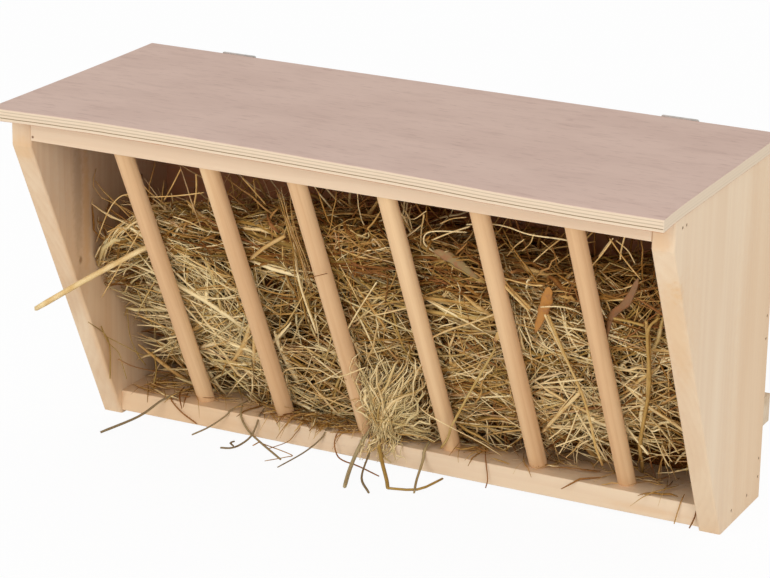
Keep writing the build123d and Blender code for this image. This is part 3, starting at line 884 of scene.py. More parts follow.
class HAYBOX_OT_packed(bpy.types.Operator):
    """Packs the hay: strands in small sheaves that lie along the pile's front and top"""
    bl_idname = "haybox.packed"
    bl_label = "Hay, packed strands"

    TOP_SHARE = 0.27

    def execute(self, context):
        hay = context.scene.hay_hay
        rng = np.random.default_rng(hay.seed)
        strands = []
        while len(strands) < hay.packed:
            strands += self.sheaf(hay, rng)
        add_hay("hay_packed", strands[:hay.packed])
        return {"FINISHED"}

    def sheaf(self, hay, rng):
        """One sheaf of like strands, on the pile's front or on its top."""
        x = place_along(rng)
        sunk = rng.uniform() ** 1.1
        ridge = float(pile_top(x, RIDGE_Y))
        if rng.uniform() < self.TOP_SHARE:
            front = float(front_limit(ridge)) + 0.006 + float(hollow(x, ridge))
            y = front + (BACK_LOW.y - 0.004 - front) * rng.uniform() ** 1.4
            lump = 0.008 * noise.noise(Vector((x * 24, y * 24, 3.0)))
            middle = np.array([x, y, float(pile_top(x, y)) - 0.004 + lump - hay.depth * sunk])
            axes = (ALONG, INTO, DOWN)
            # Painted shade on the pile's top, under the lid.
            shade = top_shade(x, ridge)
        else:
            z = FLOOR_TOP + (ridge - 0.006 - FLOOR_TOP) * rng.uniform() ** 0.95
            recess, dark = float(hollow(x, z)), pocket(x, z)
            if rng.uniform() < min(0.5, recess / 0.05) + 0.85 * dark:
                return []
            y = float(front_limit(z)) + 0.002 + hay.depth * sunk + recess + 0.018 * dark
            middle = np.array([x, y, z])
            axes = (ALONG, LEAN_UP, LEAN_IN)
            # Painted shade: strands in the pockets, near the top, on the shoulder and where the
            # front stands back are painted darker.
            shade = 0.36 * dark + top_shade(x, z) + 0.10 * shoulder(x, z) + 3 * recess
        heading = matted_heading(rng, x, middle[2])
        # Painted shade: strands deeper in the pile are painted darker too (0.46 * sunk).
        return sheaf_of(hay, rng, middle, axes, heading, count=int(rng.integers(4, 14)),
                        spread=math.radians(13), tone=0.55 - 0.46 * sunk - shade + lay_tone(x))


class HAYBOX_OT_loose(bpy.types.Operator):
    """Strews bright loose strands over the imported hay, each way across one another"""
    bl_idname = "haybox.loose"
    bl_label = "Hay, loose strands"

    TOP_SHARE = 0.16

    def execute(self, context):
        hay = context.scene.hay_hay
        rng = np.random.default_rng(hay.seed + 5)
        strands = []
        while len(strands) < hay.loose:
            strands += self.few(hay, rng)
        add_hay("hay_loose", strands[:hay.loose])
        return {"FINISHED"}

    def few(self, hay, rng):
        x = place_along(rng)
        ridge = float(pile_top(x, RIDGE_Y))
        if rng.uniform() < self.TOP_SHARE:
            front = float(front_limit(ridge)) + 0.004 + float(hollow(x, ridge))
            y = front + 0.06 * rng.uniform() ** 1.5
            middle = np.array([x, y, float(pile_top(x, y)) + 0.008 * rng.uniform()])
            axes = (ALONG, INTO, DOWN)
            # Painted shade on the pile's top, under the lid.
            shade = 0.08 + top_shade(x, ridge)
        else:
            z = FLOOR_TOP + (ridge - FLOOR_TOP) * rng.uniform()
            recess, dark = float(hollow(x, z)), pocket(x, z)
            if rng.uniform() < min(0.3, recess / 0.08) + 0.85 * dark + 0.35 * shoulder(x, z):
                return []
            y = float(front_limit(z)) + 0.005 * rng.uniform() + recess * rng.uniform(0.1, 0.9)
            middle = np.array([x, y, z])
            axes = (ALONG, LEAN_UP, LEAN_IN)
            # Painted shade near the top, on the shoulder and where the front stands back.
            shade = top_shade(x, z) + 0.12 * shoulder(x, z) + 2 * recess
        level = rng.uniform() < 0.4
        heading = matted_heading(rng, x, middle[2]) if level else rng.uniform(0, math.pi)
        return sheaf_of(hay, rng, middle, axes, heading, count=int(rng.integers(1, 5)),
                        spread=math.radians(16), tone=0.84 - shade + lay_tone(x))


class HAYBOX_OT_wisps(bpy.types.Operator):
    """Stands wisps up from the pile's top, in the dark gap under the lid"""
    bl_idname = "haybox.wisps"
    bl_label = "Hay, wisps on top"

    CEILING = RAIL_LOW.z + 0.004
    STEPS = 7

    def execute(self, context):
        hay = context.scene.hay_hay
        rng = np.random.default_rng(hay.seed + 17)
        step = np.linspace(0, 1, self.STEPS)
        strands = []
        for _ in range(hay.wisps):
            x = rng.uniform(LEFT_FACE + 0.010, RIGHT_FACE - 0.005)
            ridge = float(pile_top(x, RIDGE_Y))
            y = float(front_limit(ridge)) + 0.005 + 0.085 * rng.uniform() ** 1.6
            start = np.array([x, y, float(pile_top(x, y)) - 0.008])
            turn = rng.uniform(0, 2 * math.pi)
            climb = abs(rng.normal(0, math.radians(26)))
            heading = np.array([math.cos(turn) * math.cos(climb),
                                0.6 * math.sin(turn) * math.cos(climb), math.sin(climb)])
            long = 0.048 * math.exp(rng.normal(0, 0.4))
            sag = rng.normal(0, 0.12) * long
            points = start + heading * (step * long)[:, None] + DOWN * (sag * step ** 2)[:, None]
            points += rng.normal(0, 0.0006, points.shape)
            points[:, 0] = np.clip(points[:, 0], HAY_LEFT, HAY_RIGHT)
            points[:, 2] = np.minimum(points[:, 2], self.CEILING - 0.004 * step)
            points[:, 1] = np.clip(points[:, 1], front_limit(points[:, 2]), HAY_BACK)
            points[:, 0] += 0.0002 * step
            half_width = strand_width(hay, rng) / 2 * tapered(step)
            tilt = rng.uniform(0, 3) + step
            tone = rng.uniform(0.1, 0.5) if rng.uniform() < 0.5 else rng.uniform(0.5, 0.95)
            tone *= 1 - 0.35 * rise(x, 0.02, 0.10)           # deeper shade towards the right
            strands.append(Strand(points, half_width, tilt, tone,
                                  0.8 if rng.uniform() < 0.3 else 0.5))
        add_hay("hay_wisps", strands)
        return {"FINISHED"}


def place_along(rng):
    """A place for a sheaf along the box: the hay thins out raggedly towards the left board."""
    while True:
        x = rng.uniform(LEFT_FACE + 0.010, RIGHT_FACE - 0.004)
        if rng.uniform() < 0.10 + 0.90 * rise(x, -0.222, -0.176):
            return x


def matted_heading(rng, x, z):
    """Mostly level, rising a little to the right, with some sheaves across the others."""
    drift = math.radians(8 + 35 * noise.noise(Vector((x * 14, z * 14, 5.0))))
    kind = rng.uniform()
    if kind < 0.5:
        return rng.normal(drift, math.radians(26))
    if kind < 0.7:
        return rng.normal(drift + math.radians(60), math.radians(22))
    return rng.uniform(0, math.pi)


def strand_width(hay, rng):
    """Most strands are thin stems, and about one in eight is a broad blade."""
    blade = rng.uniform(1.6, 2.5) if rng.uniform() < 0.13 else 1.0
    return hay.strand_width * math.exp(rng.normal(0, 0.28)) * blade


def tapered(step):
    """Half widths from 0 to 1 along a strand: narrow tips and an even middle."""
    return np.minimum(1, 0.4 + 2.4 * np.minimum(step, 1 - step))


def sheaf_of(hay, rng, middle, axes, heading, count, spread, tone):
    """Strands that lie much the same way round a middle, each with its own bend and colour."""
    turn = rng.normal(heading, spread, count)
    dip = rng.normal(0, math.radians(7), count)
    long = np.clip(hay.strand_length * np.exp(rng.normal(0, 0.42, count)), 0.014, 0.130)
    side = rng.normal(0, 0.006, count)
    slide = rng.normal(0, 0.014, count)
    deep = rng.normal(0, 0.0022, count)
    step = np.linspace(-1, 1, STRAND_STEPS)
    bow = rng.normal(0, 0.040, (count, 2)) * long[:, None]
    crook = rng.normal(0, 0.00038, (count, STRAND_STEPS, 3))
    along, across, inward = axes
    heads = np.cos(turn)[:, None] * along + np.sin(turn)[:, None] * across
    heads = heads + np.sin(dip)[:, None] * inward
    sides = -np.sin(turn)[:, None] * along + np.cos(turn)[:, None] * across
    starts = middle + sides * side[:, None] + heads * slide[:, None] + inward * deep[:, None]
    reach = step[None, :] * long[:, None] / 2
    curve = step ** 2 - 0.4
    points = (starts[:, None, :] + heads[:, None, :] * reach[..., None]
              + sides[:, None, :] * (bow[:, :1] * curve)[..., None]
              + inward[None, None, :] * (bow[:, 1:] * curve)[..., None] + crook)
    points = hold_in(points) + 0.2 * crook       # so that no two points are in one place
    tones = np.clip(rng.normal(rng.normal(tone, 0.17), 0.22, count), 0.02, 1)
    mood = rng.uniform()
    hue = 0.22 if mood < 0.28 else 0.85 if mood > 0.94 else 0.48
    hue += 0.07 * rise(middle[0], -0.05, 0.10)   # browner towards the right
    hues = np.clip(rng.normal(hue, 0.14, count), 0.05, 1)
    tilts = rng.uniform(0, math.pi, count)
    twists = rng.normal(0, 0.5, count)
    return [Strand(points[i], strand_width(hay, rng) / 2 * TAPER, tilts[i] + twists[i] * step,
                   tones[i], hues[i]) for i in range(count)]


def add_hay(name, strands, per_piece=4300, flat=0.34):
    """Adds strands as one piece, or as several numbered ones where there are many."""
    material = bpy.data.materials.get("dry hay") or hay_material("dry hay")
    if len(strands) <= per_piece:
        add_piece(name, strand_mesh(name, strands, flat), material, "box")
        return
    for number, first in enumerate(range(0, len(strands), per_piece), start=1):
        numbered = f"{name}_{number}"
        mesh = strand_mesh(numbered, strands[first:first + per_piece], flat)
        add_piece(numbered, mesh, material, "box")


Straw = namedtuple("Straw", "width tone hue points")
GREY, GREEN, PLAIN, BROWN = 0.0, 0.15, 0.5, 0.9

# Long straws that stand out, each through a few points in millimetres. Their places were read off
# the photograph. At least 190 of the 332 points were then worked out outside this script, by
# projecting those places through the camera onto planes at guessed depths. How each of the others
# came about, in the same way or otherwise, is no longer known.
LONG_STRAWS = [
    # left of the first bar
    Straw(6.2, 0.80, PLAIN, [(-168, -16, 163), (-179, -19, 155), (-189, -23, 149),
                             (-221, -40, 128), (-259, -44, 102)]),
    Straw(1.4, 0.72, PLAIN, [(-178, -27, 172), (-182, -27, 166), (-226, -6, 105)]),
    Straw(1.4, 0.70, PLAIN, [(-230, -6, 147), (-207, -28, 178), (-193, -36, 194),
                             (-181, -40, 200), (-165, -41, 201), (-141, -44, 206),
                             (-116, -47, 213)]),
    Straw(1.4, 0.60, PLAIN, [(-130, -55, 230), (-142, -46, 214), (-154, -37, 199)]),
    Straw(1.4, 0.62, PLAIN, [(-118, -54, 228), (-125, -42, 211), (-136, -28, 190)]),
    Straw(1.4, 0.55, PLAIN, [(-81, -55, 231), (-76, -47, 220), (-72, -38, 209)]),
    Straw(1.1, 0.45, PLAIN, [(-83, -36, 225), (-84, -31, 214), (-84, -26, 200)]),
    Straw(1.4, 0.62, PLAIN, [(-205, 13, 88), (-192, 17, 83), (-178, 21, 77)]),
    Straw(1.4, 0.66, PLAIN, [(-211, -22, 162), (-196, -27, 169), (-187, -21, 157)]),
    Straw(1.3, 0.60, PLAIN, [(-221, -13, 154), (-205, -17, 153), (-188, -22, 155)]),
    Straw(1.2, 0.58, GREEN, [(-204, 7, 111), (-206, 30, 78), (-207, 43, 68)]),
    Straw(1.3, 0.64, PLAIN, [(-220, 35, 80), (-204, 32, 78), (-191, 23, 79)]),
    # dark thin stems in the lower left corner
    Straw(1.0, 0.34, GREEN, [(-230, -19, 89), (-230, 6, 70), (-230, 11, 51), (-230, 6, 35)]),
    Straw(1.0, 0.36, GREEN, [(-229, 5, 70), (-218, 13, 62), (-208, 22, 54), (-202, 28, 56)]),
    Straw(1.0, 0.34, GREEN, [(-224, 26, 88), (-222, 27, 64), (-216, 36, 39)]),
    Straw(1.1, 0.46, GREEN, [(-208, 39, 49), (-211, 41, 33), (-213, 38, 19)]),
    Straw(1.1, 0.40, BROWN, [(-226, 15, 50), (-219, 25, 41), (-212, 40, 33), (-203, 52, 29)]),
    Straw(1.0, 0.40, GREEN, [(-229, -3, 81), (-229, 7, 65), (-226, 18, 52), (-222, 16, 33)]),
    # second and third gaps
    Straw(4.2, 0.68, BROWN - 0.22, [(-93, -21, 161), (-76, -29, 175), (-57, -37, 188)]),
    Straw(1.8, 0.92, PLAIN, [(-51, -35, 184), (-55, -19, 149), (-52, 2, 105)]),
    Straw(1.4, 0.95, PLAIN, [(-145, -1, 117), (-130, -2, 119), (-114, -4, 123)]),
    Straw(1.4, 0.82, PLAIN, [(-147, -37, 188), (-134, -35, 185), (-121, -32, 179)]),
    Straw(0.8, 0.20, BROWN, [(-47, -21, 155), (-31, -42, 164), (-24, -44, 167), (-28, -25, 162)]),
    Straw(1.4, 0.92, PLAIN, [(-29, 2, 109), (-11, -11, 135), (8, -24, 161)]),
    Straw(1.4, 0.90, PLAIN, [(-100, 34, 51), (-86, 26, 64), (-56, 12, 73), (-35, 0, 75),
                             (-9, -6, 89)]),
    # fourth and fifth gaps
    Straw(1.4, 0.92, PLAIN, [(87, -50, 217), (59, -47, 212), (51, -40, 202), (54, -35, 195),
                             (62, -29, 187)]),
    Straw(1.4, 0.95, PLAIN, [(88, -52, 223), (106, -55, 227), (119, -55, 227), (134, -54, 224),
                             (155, -53, 224), (168, -48, 222)]),
    Straw(5.0, 0.55, GREEN + 0.15, [(38, -30, 199), (61, -30, 188), (92, -28, 176)]),
    Straw(2.1, 0.78, BROWN - 0.25, [(36, -2, 116), (56, -8, 129), (77, -13, 140),
                             (106, -21, 157)]),
    Straw(2.8, 0.72, GREEN, [(32, 31, 21), (40, 25, 32), (49, 17, 48), (68, 9, 83),
                             (89, -1, 119)]),
    Straw(1.1, 0.92, PLAIN, [(15, 27, 56), (28, 17, 54), (42, 13, 51), (51, 16, 46),
                             (77, 38, 21)]),
    Straw(2.8, 0.72, PLAIN, [(104, -40, 188), (113, -36, 176), (124, -27, 161)]),
    Straw(3.0, 0.62, BROWN - 0.2, [(106, -42, 193), (112, -34, 178), (125, -26, 162)]),
    Straw(1.6, 0.66, PLAIN, [(109, -38, 185), (127, -37, 183), (138, -37, 184)]),
    # sixth gap and the right end
    Straw(2.4, 0.90, PLAIN, [(135, -24, 159), (142, -7, 127), (153, 15, 85)]),
    Straw(3.2, 0.66, GREEN + 0.2, [(209, -27, 168), (207, -14, 142), (199, 10, 96)]),
    Straw(1.4, 0.95, PLAIN, [(134, -30, 166), (146, -29, 168), (156, -29, 168), (163, -25, 164)]),
    Straw(2.8, 0.66, GREEN + 0.2, [(138, -26, 160), (145, -9, 125), (152, 13, 85), (156, 34, 31)]),
    Straw(4.2, 0.78, PLAIN + 0.1, [(111, 36, 49), (130, 24, 72), (149, 10, 94)]),
    Straw(2.1, 0.90, PLAIN, [(121, 8, 96), (138, 4, 102), (155, 0, 108)]),
    Straw(2.8, 0.50, GREEN + 0.15, [(176, 60, 20), (188, 28, 60), (204, -2, 113), (211, -28, 160),
                             (222, -39, 176)]),
    Straw(2.8, 0.60, GREEN, [(186, -27, 166), (197, -28, 166), (208, -28, 165)]),
    Straw(1.4, 0.72, PLAIN, [(174, -46, 204), (184, -50, 216), (193, -54, 229)]),
    Straw(1.4, 0.62, PLAIN, [(192, -56, 231), (201, -50, 216), (210, -43, 202)]),
    Straw(1.2, 0.80, PLAIN, [(36, -42, 218), (45, -44, 218), (57, -50, 227)]),
    Straw(1.1, 0.75, PLAIN, [(45, -32, 195), (48, -38, 208), (55, -49, 224)]),
    Straw(1.6, 0.85, PLAIN, [(56, -38, 203), (73, -45, 213), (89, -49, 221)]),
    Straw(1.2, 0.70, PLAIN, [(61, -36, 215), (73, -42, 222), (85, -46, 226)]),
    Straw(1.2, 0.75, PLAIN, [(110, -34, 199), (118, -39, 209), (126, -43, 216)]),
    Straw(1.1, 0.70, PLAIN, [(119, -30, 203), (128, -37, 212), (133, -43, 221)]),
    Straw(1.3, 0.72, BROWN - 0.3, [(129, -33, 198), (142, -40, 211), (154, -48, 222)]),
    Straw(1.1, 0.66, PLAIN, [(135, -35, 214), (143, -34, 208), (148, -33, 201)]),
    Straw(1.4, 0.85, PLAIN, [(181, -46, 214), (189, -51, 225), (194, -55, 231)]),
    Straw(1.2, 0.75, PLAIN, [(195, -43, 213), (198, -49, 223), (202, -54, 234)]),
    Straw(1.2, 0.80, PLAIN, [(205, -42, 212), (202, -48, 222), (195, -52, 229)]),
    # two fans of cut straws low down, on both sides of the last bar
    Straw(1.6, 0.97, PLAIN, [(145, 37, 52), (133, 36, 46), (121, 34, 39)]),
    Straw(1.3, 0.90, PLAIN, [(144, 23, 80), (131, 35, 49), (122, 36, 32)]),
    Straw(1.5, 0.95, PLAIN, [(133, 33, 62), (125, 34, 53), (116, 35, 44)]),
    Straw(1.4, 0.85, PLAIN, [(118, 34, 54), (128, 32, 56), (136, 34, 56)]),
    Straw(1.8, 0.95, PLAIN, [(145, 38, 48), (141, 37, 45), (137, 36, 41)]),
    Straw(1.0, 0.70, PLAIN, [(138, 40, 45), (133, 38, 37), (126, 39, 29)]),
    Straw(1.4, 0.92, PLAIN, [(144, 15, 93), (131, 23, 76), (118, 32, 57)]),
    Straw(1.2, 0.80, PLAIN, [(152, 16, 91), (155, 21, 82), (158, 27, 73)]),
    Straw(1.5, 0.88, PLAIN, [(175, 16, 97), (182, 20, 84), (190, 25, 73)]),
    Straw(2.4, 0.97, PLAIN, [(172, 30, 71), (182, 30, 61), (192, 34, 48)]),
    Straw(1.4, 0.85, PLAIN, [(172, 36, 57), (179, 31, 60), (186, 29, 61)]),
    Straw(1.4, 0.92, PLAIN, [(190, 26, 73), (197, 26, 68), (202, 31, 54), (207, 34, 41)]),
    Straw(2.0, 0.88, GREEN + 0.15, [(196, 22, 80), (203, 23, 74), (209, 28, 64), (215, 32, 54)]),
    Straw(1.2, 0.85, PLAIN, [(203, 31, 58), (206, 32, 52), (209, 35, 45)]),
    Straw(1.8, 0.98, PLAIN, [(197, 24, 70), (200, 22, 71), (204, 23, 73)]),
    Straw(1.3, 0.85, PLAIN, [(182, 28, 68), (191, 28, 65), (199, 27, 64)]),
    Straw(1.4, 0.60, BROWN - 0.25, [(197, 13, 97), (204, 14, 93), (210, 17, 87)]),
    # stems that hang over the floor board's front, and lie on what the box stands on
    Straw(2.5, 0.22, GREY, [(-186, 44, 21), (-190, 30, 21), (-196, 22, 18),
                             (-206, 6, 9), (-224, -19, 1.5)]),
    Straw(1.1, 0.30, BROWN, [(-192, 32, 20), (-188, 25, 18), (-179, 24, 11), (-167, 25, 4)]),
    Straw(1.4, 0.36, GREY, [(-134, 44, 22), (-138, 30, 20), (-142, 23, 15), (-152, 16, 7),
                             (-162, 9, 1.6)]),
    Straw(1.7, 0.22, GREY, [(-118, 48, 22), (-117, 36, 20), (-115, 24, 14), (-118, 20, 5),
                             (-121, 9, 1.6), (-124, 0, 1.6), (-131, -3, 1.6)]),
    Straw(1.8, 0.2, GREY, [(-124, 4, 1.8), (-129, 9, 1.6), (-128, 13, 1.6)]),
    Straw(1.6, 0.48, GREY, [(-133, 34, 22), (-129, 25, 17), (-122, 23, 8), (-110, 20, 1.8),
                             (-81, -2, 1.6)]),
    Straw(1.0, 0.45, BROWN - 0.3, [(-112, 12, 1.6), (-111, 21, 1.6), (-108, 19, 1.6),
                             (-79, 10, 1.6), (-80, 4, 1.6), (-90, -10, 1.6)]),
    Straw(1.6, 0.26, GREY, [(-50, 44, 24), (-57, 31, 20), (-62, 23, 12), (-70, 12, 4),
                             (-76, -16, 1.6)]),
    Straw(1.0, 0.30, PLAIN, [(-76, 34, 21), (-82, 25, 14), (-88, 22, 6), (-99, 12, 1.6)]),
    Straw(1.1, 0.22, BROWN, [(-48, 42, 22), (-49, 30, 20), (-50, 23, 13), (-47, 21, 4),
                             (-40, 18, 1.6), (-26, 14, 1.6), (-4, 4, 1.6)]),
    Straw(2.8, 0.50, GREEN, [(-22, 42, 24), (-17, 30, 20), (-10, 18, 12), (6, -4, 4),
                             (11, -12, 2), (14, -13, 2), (32, -5, 2), (39, 20, 2.5)]),
    Straw(2.5, 0.66, GREY, [(20, 40, 22), (21, 29, 20), (22, 22, 12), (25, 6, 3.5),
                             (32, -12, 2)]),
    Straw(3.0, 0.85, GREY, [(-26, 38, 24), (-27, 28, 20), (-30, 20, 10), (-26, 0, 3),
                             (-16, -27, 2)]),
    Straw(1.8, 0.26, GREY, [(-22, 40, 22), (-20, 28, 19), (-20, 18, 9), (-12, -8, 3),
                             (4, -28, 2)]),
    Straw(0.9, 0.20, BROWN, [(57, 54, 20), (64, 38, 20), (70, 26, 19), (73, 23, 8), (73, 20, 2)]),
    Straw(0.8, 0.45, PLAIN, [(217, 37, 20), (219, 27, 20), (217, 24, 10), (216, 22, 3)]),
    Straw(1.1, 0.10, PLAIN, [(230, 40, 20), (231, 27, 19), (230, 24, 10), (228, 20, 3)]),
]


class HAYBOX_OT_straws(bpy.types.Operator):
    """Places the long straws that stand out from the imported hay"""
    bl_idname = "haybox.straws"
    bl_label = "Hay, long straws"

    SEED = 3
    STEPS = 21
    FORWARD = 0.005                # brings the straws inside the box to the hay's face
    ON_BOARD = 21                  # millimetres: straws that start behind this lie on the board
    HANGS = 0.016                  # and hang over its edge where they come down to this
    GROUND_GAP = 0.0006            # above what the box stands on

    def execute(self, context):
        rng = random.Random(self.SEED)
        step = np.linspace(-1, 1, self.STEPS)
        taper = np.minimum(1, 0.85 + 1.5 * (1 - np.abs(step)))
        strands = []
        for straw in LONG_STRAWS:
            points = smooth_line(straw.points, self.STEPS)
            points[:, 1] -= self.FORWARD * rise(points[:, 2], 0.030, 0.050)
            on_board = straw.points[0][1] - straw.width / 2 > self.ON_BOARD
            if on_board and points[:, 2].min() < self.HANGS:
                points = over_edge(points)
            points[:, 2] = np.maximum(points[:, 2], self.GROUND_GAP + straw.width * MM * 0.2)
            tilt = rng.uniform(-0.4, 0.4) + step * rng.uniform(-0.5, 0.5)
            strands.append(Strand(points, straw.width * MM / 2 * taper, tilt, straw.tone,
                                  straw.hue))
        add_hay("hay_long_straws", strands, flat=0.7)
        return {"FINISHED"}


class HAYBOX_OT_stems(bpy.types.Operator):
    """Hangs a bundle of thin stems down the hay's face, beside the third bar"""
    bl_idname = "haybox.stems"
    bl_label = "Hay, bundle of stems"

    COUNT = 13
    STEPS = 12
    ROUTE = [(-47, -66, 232), (-48, -57, 210), (-48, -46, 188), (-47, -32, 162), (-47, -17, 134)]

    def execute(self, context):
        rng = np.random.default_rng(context.scene.hay_hay.seed + 31)
        step = np.linspace(0, 1, self.STEPS)
        middle = smooth_line(self.ROUTE, self.STEPS)
        strands = []
        for number in range(self.COUNT):
            spread = rng.normal(0, 1, 2) * 0.0042 * (1.3 - np.sin(math.pi * step ** 0.8))[:, None]
            spread += rng.normal(0, 0.0010, 2) + 0.0012 * np.sin(5 * step + number)[:, None]
            points = middle + np.c_[spread[:, 0], 0.4 * np.abs(spread[:, 1]), np.zeros(self.STEPS)]
            points += rng.normal(0, 0.0003, points.shape)
            first, last = rng.uniform(0, 0.25), rng.uniform(0.7, 1.0)
            keep = first + (last - first) * step
            points = cut_out(points, keep)
            strands.append(Strand(points, 0.00042 * math.exp(rng.normal(0, 0.3)) * tapered(step),
                                  rng.uniform(0, 3) + step, rng.uniform(0.3, 0.9),
                                  0.75 if rng.uniform() < 0.35 else 0.35))
        add_hay("hay_stems", strands, flat=0.6)
        return {"FINISHED"}


def over_edge(points):
    """Moves points of a hanging strand out of the floor board: forwards below its top edge."""
    inside = (points[:, 1] > HAY_LIP) & (points[:, 2] < HAY_FLOOR)
    deep = HAY_FLOOR - points[:, 2]
    ahead = points[:, 1] - HAY_LIP
    up = inside & (deep <= ahead)
    points[up, 2] = HAY_FLOOR
    points[inside & ~up, 1] = HAY_LIP
    return points


class HAYBOX_OT_tuft(bpy.types.Operator):
    """Pulls a tuft of hay out between the third and fourth bars and over the floor board"""
    bl_idname = "haybox.tuft"
    bl_label = "Hay, pulled tuft"

    COUNT = 300
    HANGING = 34
    STEPS = 9

    def execute(self, context):
        rng = np.random.default_rng(context.scene.hay_hay.seed + 11)
        step = np.linspace(0, 1, self.STEPS)
        strands = []
        for number in range(self.COUNT + self.HANGING):
            route = self.hanging(rng) if number < self.HANGING else self.fan(rng)
            points = smooth_line(route, self.STEPS)
            first = rng.uniform(0, 0.35)
            keep = first + (1 - first) * step * rng.uniform(0.6, 1.0)
            points = cut_out(points, keep)
            points += rng.normal(0, 0.0009, points.shape)
            points = self.off_bars(over_edge(points)) + 0.0001 * step[:, None]
            width = 0.0010 * math.exp(rng.normal(0, 0.35)) * (2.0 if rng.uniform() < 0.1 else 1)
            hue = 0.24 if rng.uniform() < 0.6 else 0.5
            strands.append(Strand(points, width / 2 * tapered(step),
                                  rng.uniform(0, 3) + 0.8 * step,
                                  min(1, max(0.2, rng.normal(0.98, 0.18))),
                                  min(1, max(0.1, rng.normal(hue, 0.08)))))
        add_hay("hay_tuft", strands)
        return {"FINISHED"}

    def fan(self, rng):
        """A route from the pile's face down to the floor board, crossing its neighbours."""
        head_x, z_head = rng.uniform(-26, 30), rng.uniform(30, 100)
        foot_x = rng.normal(-12, 5)
        out = rng.uniform() ** 1.5
        z_foot = rng.uniform(21, 34)
        middle_x = 0.5 * (head_x + foot_x) + rng.normal(0, 7)
        middle_z = 0.5 * (z_head + z_foot)
        return [(head_x + rng.normal(0, 10), self.line(z_head) + 9, z_head),
                (head_x, self.line(z_head) + 2 - 4 * out, z_head - 8),
                (middle_x, self.line(middle_z) - 3 - 5 * out, middle_z),
                (foot_x, self.line(z_foot + 6) - 5 - 4 * out, z_foot + 5),
                (foot_x + rng.normal(0, 7), 30 - 6 * rng.uniform(), 20)]

    def hanging(self, rng):
        """A route from the tuft's foot down over the floor board's front."""
        foot_x = rng.normal(-14, 7)
        return [(foot_x + rng.normal(0, 3), 34, 26 + rng.uniform(0, 14)), (foot_x, 27, 21),
                (foot_x + rng.normal(0, 4), 24 - 2 * rng.uniform(), 14),
                (foot_x + rng.normal(0, 12), 21 - 10 * rng.uniform(), rng.uniform(1, 10))]

    def line(self, z):
        """The bars' axes at a height, in millimetres."""
        return float(bar_line_y(z * MM)) / MM

    def off_bars(self, points):
        """Moves points that fall inside a bar out to its front."""
        for x in BAR_XS:
            lean_off = (points[:, 1] - bar_line_y(points[:, 2])) * math.cos(BAR_LEAN)
            side = points[:, 0] - x
            room = BAR_RADIUS + 0.0008
            inside = (np.hypot(side, lean_off) < room) & (points[:, 2] > FLOOR_TOP)
            want = -np.sqrt(np.maximum(room ** 2 - side ** 2, 0))
            points[inside, 1] += (want - lean_off)[inside] / math.cos(BAR_LEAN)
        return points


class HAYBOX_OT_litter(bpy.types.Operator):
    """Scatters short bits of hay along the floor board's front"""
    bl_idname = "haybox.litter"
    bl_label = "Hay, litter"

    COUNT = 330

    def execute(self, context):
        rng = np.random.default_rng(context.scene.hay_hay.seed + 23)
        step = np.linspace(-1, 1, STRAND_STEPS)
        strands = []
        for _ in range(self.COUNT):
            heap = rng.uniform() < 0.38
            x = rng.normal(-0.076, 0.024) if heap else -0.216 + 0.436 * rng.uniform() ** 1.8
            y = FLOOR_LOW.y + 0.003 + abs(rng.normal(0, 0.012 if heap else 0.020))
            z = HAY_FLOOR + abs(rng.normal(0, 0.0030 if heap else 0.0020))
            heading = rng.uniform(0, math.pi)
            reach = rng.uniform(0.004, 0.020)
            bow = rng.normal(0, 0.10) * reach
            points = np.empty((STRAND_STEPS, 3))
            points[:, 0] = (x + math.cos(heading) * step * reach
                            - math.sin(heading) * bow * step ** 2)
            points[:, 1] = (y + math.sin(heading) * step * reach
                            + math.cos(heading) * bow * step ** 2)
            points[:, 2] = z + rng.normal(0, 0.0004, STRAND_STEPS)
            past = np.maximum(0, FLOOR_LOW.y - points[:, 1])
            points[:, 2] -= past * rng.uniform(0.2, 1.0)
            points[:, 0] = np.clip(points[:, 0], LEFT_FACE + 0.001, RIGHT_FACE - 0.001)
            points = over_edge(points)
            strands.append(Strand(points, 0.00045 * math.exp(rng.normal(0, 0.3)) * TAPER,
                                  rng.uniform(0, 3) + step * 0.5,
                                  min(1, max(0.02, rng.normal(0.46, 0.24))),
                                  0.78 if rng.uniform() < 0.35 else 0.38))
        add_hay("hay_litter", strands)
        return {"FINISHED"}


Leaf = namedtuple("Leaf", "name width shade points")


